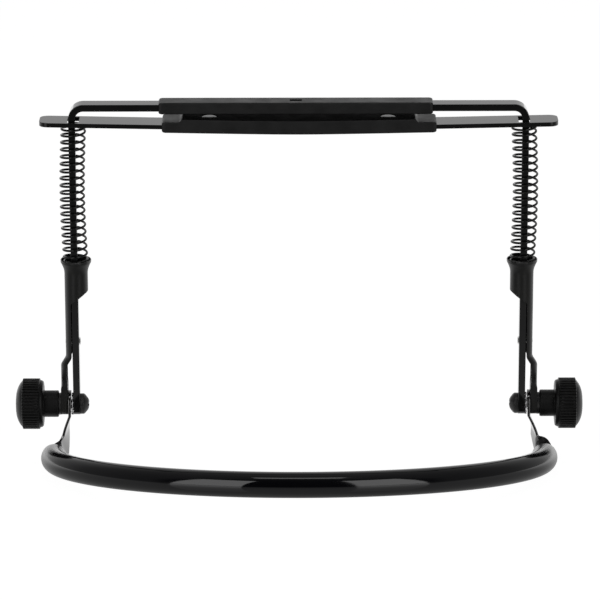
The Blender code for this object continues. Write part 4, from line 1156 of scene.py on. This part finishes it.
def yoke_sleeve():
    """Vinyl tube over the whole bend, open at both ends."""
    path = yoke_bend(SLEEVE_START, 160)
    up = Vector((0, math.sin(YOKE_TILT), math.cos(YOKE_TILT)))
    sides = 56
    outer, inner = [], []
    for i, point in enumerate(path):
        ahead = (path[min(i + 1, len(path) - 1)] - path[max(i - 1, 0)]).normalized()
        out = ahead.cross(up)
        for rings, radius in ((outer, SLEEVE_OD / 2), (inner, SLEEVE_BORE / 2)):
            rings.append([point + (up * math.cos(a) + out * math.sin(a)) * radius
                          for a in (2 * math.pi * k / sides for k in range(sides))])
    lip = 0.25 * MM

    def lipped(index):
        """Rounded edge of the sleeve's end, from outside to inside."""
        centre = path[index]
        ahead = (path[1] - path[0]).normalized() if index == 0 else (path[-2] - path[-1]).normalized()
        rings = []
        for step in range(1, 4):
            angle = math.pi / 2 * step / 3
            shrink = 1 - lip * (1 - math.cos(angle)) / (SLEEVE_OD / 2)
            rings.append([centre + (p - centre) * shrink + ahead * lip * (1 - math.sin(angle)) for p in outer[index]])
        return rings

    start, end = lipped(0), lipped(-1)
    rings = list(reversed(start)) + outer[1:-1] + end + list(reversed(inner))
    rings = [inner[0]] + rings
    obj = swept("yoke_sleeve_vinyl", rings, capped=False)
    only(obj)
    bpy.ops.object.mode_set(mode="EDIT")
    bpy.ops.mesh.select_all(action="SELECT")
    bpy.ops.mesh.remove_doubles(threshold=0.002 * MM)
    bpy.ops.mesh.normals_make_consistent(inside=False)
    bpy.ops.object.mode_set(mode="OBJECT")
    return finished(obj, "yoke", "yoke_sleeve", VINYL, 50)


def build():
    clamp_frame()
    upper_pad()
    lower_bar()
    lower_pad()
    end_tool = prong_end()
    for side, sign in SIDES:
        arm_tube(side, sign, end_tool)
        arm_rivet(side, sign)
        spring(side, sign)
        pivot_bolt(side, sign)
        toothed_washer(side, sign)
        thrust_washer(side, sign)
        knob(side, sign)
        pad_rivet(side, sign)
        bush = frame["nodes"]["knob_insert_" + side]
        bush.data.materials.clear()
        bush.data.materials.append(BRASS)
    bpy.data.objects.remove(end_tool, do_unlink=True)
    yoke_core()
    yoke_sleeve()


# Studio

VIEW_ELEVATION = math.radians(17.5)
VIEW_DISTANCE = 1.750
AIM_Z = 46.0 * MM
LENS_PX = 4131.0
FRAME_PX = 600
CENTRE_PX = (299.0, 300.4)
CAMERA_ROLL = math.radians(-0.1)
FLOOR_DROP = 0.6 * MM


def camera():
    data = bpy.data.cameras.new("camera")
    data.sensor_width = 36
    data.lens = LENS_PX * data.sensor_width / FRAME_PX
    data.shift_x = (FRAME_PX / 2 - CENTRE_PX[0]) / FRAME_PX
    data.shift_y = (CENTRE_PX[1] - FRAME_PX / 2) / FRAME_PX
    data.clip_end = 50
    obj = bpy.data.objects.new("camera", data)
    bpy.context.scene.collection.objects.link(obj)
    look = Vector((0, math.cos(VIEW_ELEVATION), -math.sin(VIEW_ELEVATION)))
    obj.location = PIVOT + Vector((0, 0, AIM_Z)) - look * VIEW_DISTANCE
    facing_object = look.to_track_quat("-Z", "Y").to_matrix()
    obj.rotation_euler = (facing_object @ Matrix.Rotation(CAMERA_ROLL, 3, "Z")).to_euler()
    bpy.context.scene.camera = obj


def lamp(name, place, aim, size, power, colour=(1, 1, 1)):
    data = bpy.data.lights.new(name, "AREA")
    data.shape = "RECTANGLE"
    data.size, data.size_y = size
    data.energy = power
    data.color = colour
    obj = bpy.data.objects.new(name, data)
    bpy.context.scene.collection.objects.link(obj)
    obj.location = PIVOT + Vector(place)
    obj.rotation_euler = (PIVOT + Vector(aim) - obj.location).to_track_quat("-Z", "Y").to_euler()


# Brightness that a reflection meets, by direction: (how far it points back, brightness)
BACKDROP = ((-1.0, 0.0), (-0.75, 0.02), (-0.63, 0.13), (-0.31, 0.18), (0.10, 0.25), (0.35, 0.38), (0.60, 0.50),
            (0.85, 0.85), (1.0, 1.0))
# The same for the floor, by place: (metres towards the back, brightness)
SWEEP = ((-0.60, 0.04), (-0.25, 0.15), (-0.05, 0.36), (0.05, 0.42), (0.08, 0.70), (0.115, 1.0))
FILL = 0.08


def graded(tree, value, stops):
    """Brightness read off a ramp of (value, brightness) stops."""
    low, high = stops[0][0], stops[-1][0]
    share = add(tree, "ShaderNodeMapRange")
    share.inputs["From Min"].default_value = low
    share.inputs["From Max"].default_value = high
    tree.links.new(value, share.inputs["Value"])
    ramp = add(tree, "ShaderNodeValToRGB")
    tree.links.new(share.outputs["Result"], ramp.inputs["Fac"])
    for place, level in stops[1:-1]:
        ramp.color_ramp.elements.new((place - low) / (high - low)).color = (level, level, level, 1)
    first, last = ramp.color_ramp.elements[0], ramp.color_ramp.elements[-1]
    first.color = (*[stops[0][1]] * 3, 1)
    last.color = (*[stops[-1][1]] * 3, 1)
    return ramp.outputs["Color"]


def world():
    """White where the camera looks; reflections meet a backdrop that is bright behind the object and dark in front."""
    made = bpy.data.worlds.new("studio")
    made.use_nodes = True
    bpy.context.scene.world = made
    tree = made.node_tree
    fill = tree.nodes["Background"]
    fill.inputs["Color"].default_value = (1, 1, 1, 1)
    fill.inputs["Strength"].default_value = FILL
    seen = add(tree, "ShaderNodeBackground", Strength=1.0)
    seen.inputs["Color"].default_value = (1, 1, 1, 1)
    place = add(tree, "ShaderNodeTexCoord")
    parts = add(tree, "ShaderNodeSeparateXYZ")
    tree.links.new(place.outputs["Generated"], parts.inputs[0])
    lower = add(tree, "ShaderNodeMath", operation="MULTIPLY_ADD")
    lower.inputs[1].default_value = -0.3
    tree.links.new(parts.outputs["Z"], lower.inputs[0])
    tree.links.new(parts.outputs["Y"], lower.inputs[2])
    mirrored = add(tree, "ShaderNodeBackground", Strength=1.0)
    tree.links.new(graded(tree, lower.outputs[0], BACKDROP), mirrored.inputs["Color"])
    path = add(tree, "ShaderNodeLightPath")
    mirror_mix = add(tree, "ShaderNodeMixShader")
    tree.links.new(path.outputs["Is Glossy Ray"], mirror_mix.inputs[0])
    tree.links.new(fill.outputs[0], mirror_mix.inputs[1])
    tree.links.new(mirrored.outputs[0], mirror_mix.inputs[2])
    seen_mix = add(tree, "ShaderNodeMixShader")
    tree.links.new(path.outputs["Is Camera Ray"], seen_mix.inputs[0])
    tree.links.new(mirror_mix.outputs[0], seen_mix.inputs[1])
    tree.links.new(seen.outputs[0], seen_mix.inputs[2])
    tree.links.new(seen_mix.outputs[0], tree.nodes["World Output"].inputs["Surface"])


def floor():
    """Pale sweep that the camera sees as white, with the object's soft shadow left on it."""
    nothing_selected()
    lowest = min(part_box(node)[0].z for node in frame["nodes"])
    bpy.ops.mesh.primitive_plane_add(size=12, location=(0, 0, lowest - FLOOR_DROP))
    obj = bpy.context.object
    obj.name = "floor"
    made = bpy.data.materials.new("pale floor")
    made.use_nodes = True
    tree = made.node_tree
    shader = tree.nodes["Principled BSDF"]
    shader.inputs["Base Color"].default_value = (0.30, 0.30, 0.30, 1)
    shader.inputs["Roughness"].default_value = 1.0
    shader.inputs["Specular IOR Level"].default_value = 0.0
    glow = add(tree, "ShaderNodeEmission", Strength=0.95)
    both = add(tree, "ShaderNodeAddShader")
    tree.links.new(shader.outputs[0], both.inputs[0])
    tree.links.new(glow.outputs[0], both.inputs[1])
    shape = add(tree, "ShaderNodeNewGeometry")
    parts = add(tree, "ShaderNodeSeparateXYZ")
    tree.links.new(shape.outputs["Position"], parts.inputs[0])
    mirrored = add(tree, "ShaderNodeBsdfPrincipled", Roughness=0.02)
    mirrored.inputs["Base Color"].default_value = (0, 0, 0, 1)
    mirrored.inputs["Emission Strength"].default_value = 1.0
    tree.links.new(graded(tree, parts.outputs["Y"], SWEEP), mirrored.inputs["Emission Color"])
    path = add(tree, "ShaderNodeLightPath")
    mirror_mix = add(tree, "ShaderNodeMixShader")
    tree.links.new(path.outputs["Is Glossy Ray"], mirror_mix.inputs[0])
    tree.links.new(shader.outputs[0], mirror_mix.inputs[1])
    tree.links.new(mirrored.outputs[0], mirror_mix.inputs[2])
    shown = add(tree, "ShaderNodeMixShader")
    tree.links.new(path.outputs["Is Camera Ray"], shown.inputs[0])
    tree.links.new(mirror_mix.outputs[0], shown.inputs[1])
    tree.links.new(both.outputs[0], shown.inputs[2])
    tree.links.new(shown.outputs[0], tree.nodes["Material Output"].inputs["Surface"])
    obj.data.materials.append(made)


SOFTBOX_TURN = math.radians(30.5)
SOFTBOX_AWAY = 1.8
SOFTBOX_WIDE = 0.8
SOFTBOX_TALL = 2.0
SOFTBOX_LEVEL = 2.2
STRIP_LIGHT_Z = 1.3
STRIP_LIGHT_Y = -0.32
STRIP_LIGHT_SIZE = (0.5, 0.18)
STRIP_LIGHT_LEVEL = 2.4


def studio():
    camera()
    world()
    floor()
    softbox_watts = SOFTBOX_LEVEL * math.pi * SOFTBOX_WIDE * SOFTBOX_TALL
    for side, sign in SIDES:
        place = (sign * SOFTBOX_AWAY * math.sin(SOFTBOX_TURN), -SOFTBOX_AWAY * math.cos(SOFTBOX_TURN), SOFTBOX_TALL / 2)
        lamp("front softbox " + side, place, (0, 0, SOFTBOX_TALL / 2), (SOFTBOX_WIDE, SOFTBOX_TALL), softbox_watts)
    strip_watts = STRIP_LIGHT_LEVEL * math.pi * STRIP_LIGHT_SIZE[0] * STRIP_LIGHT_SIZE[1]
    lamp("overhead strip", (0, STRIP_LIGHT_Y, STRIP_LIGHT_Z), (0, STRIP_LIGHT_Y, 0), STRIP_LIGHT_SIZE, strip_watts)
    bpy.context.scene.view_settings.view_transform = "Standard"


build()
studio()
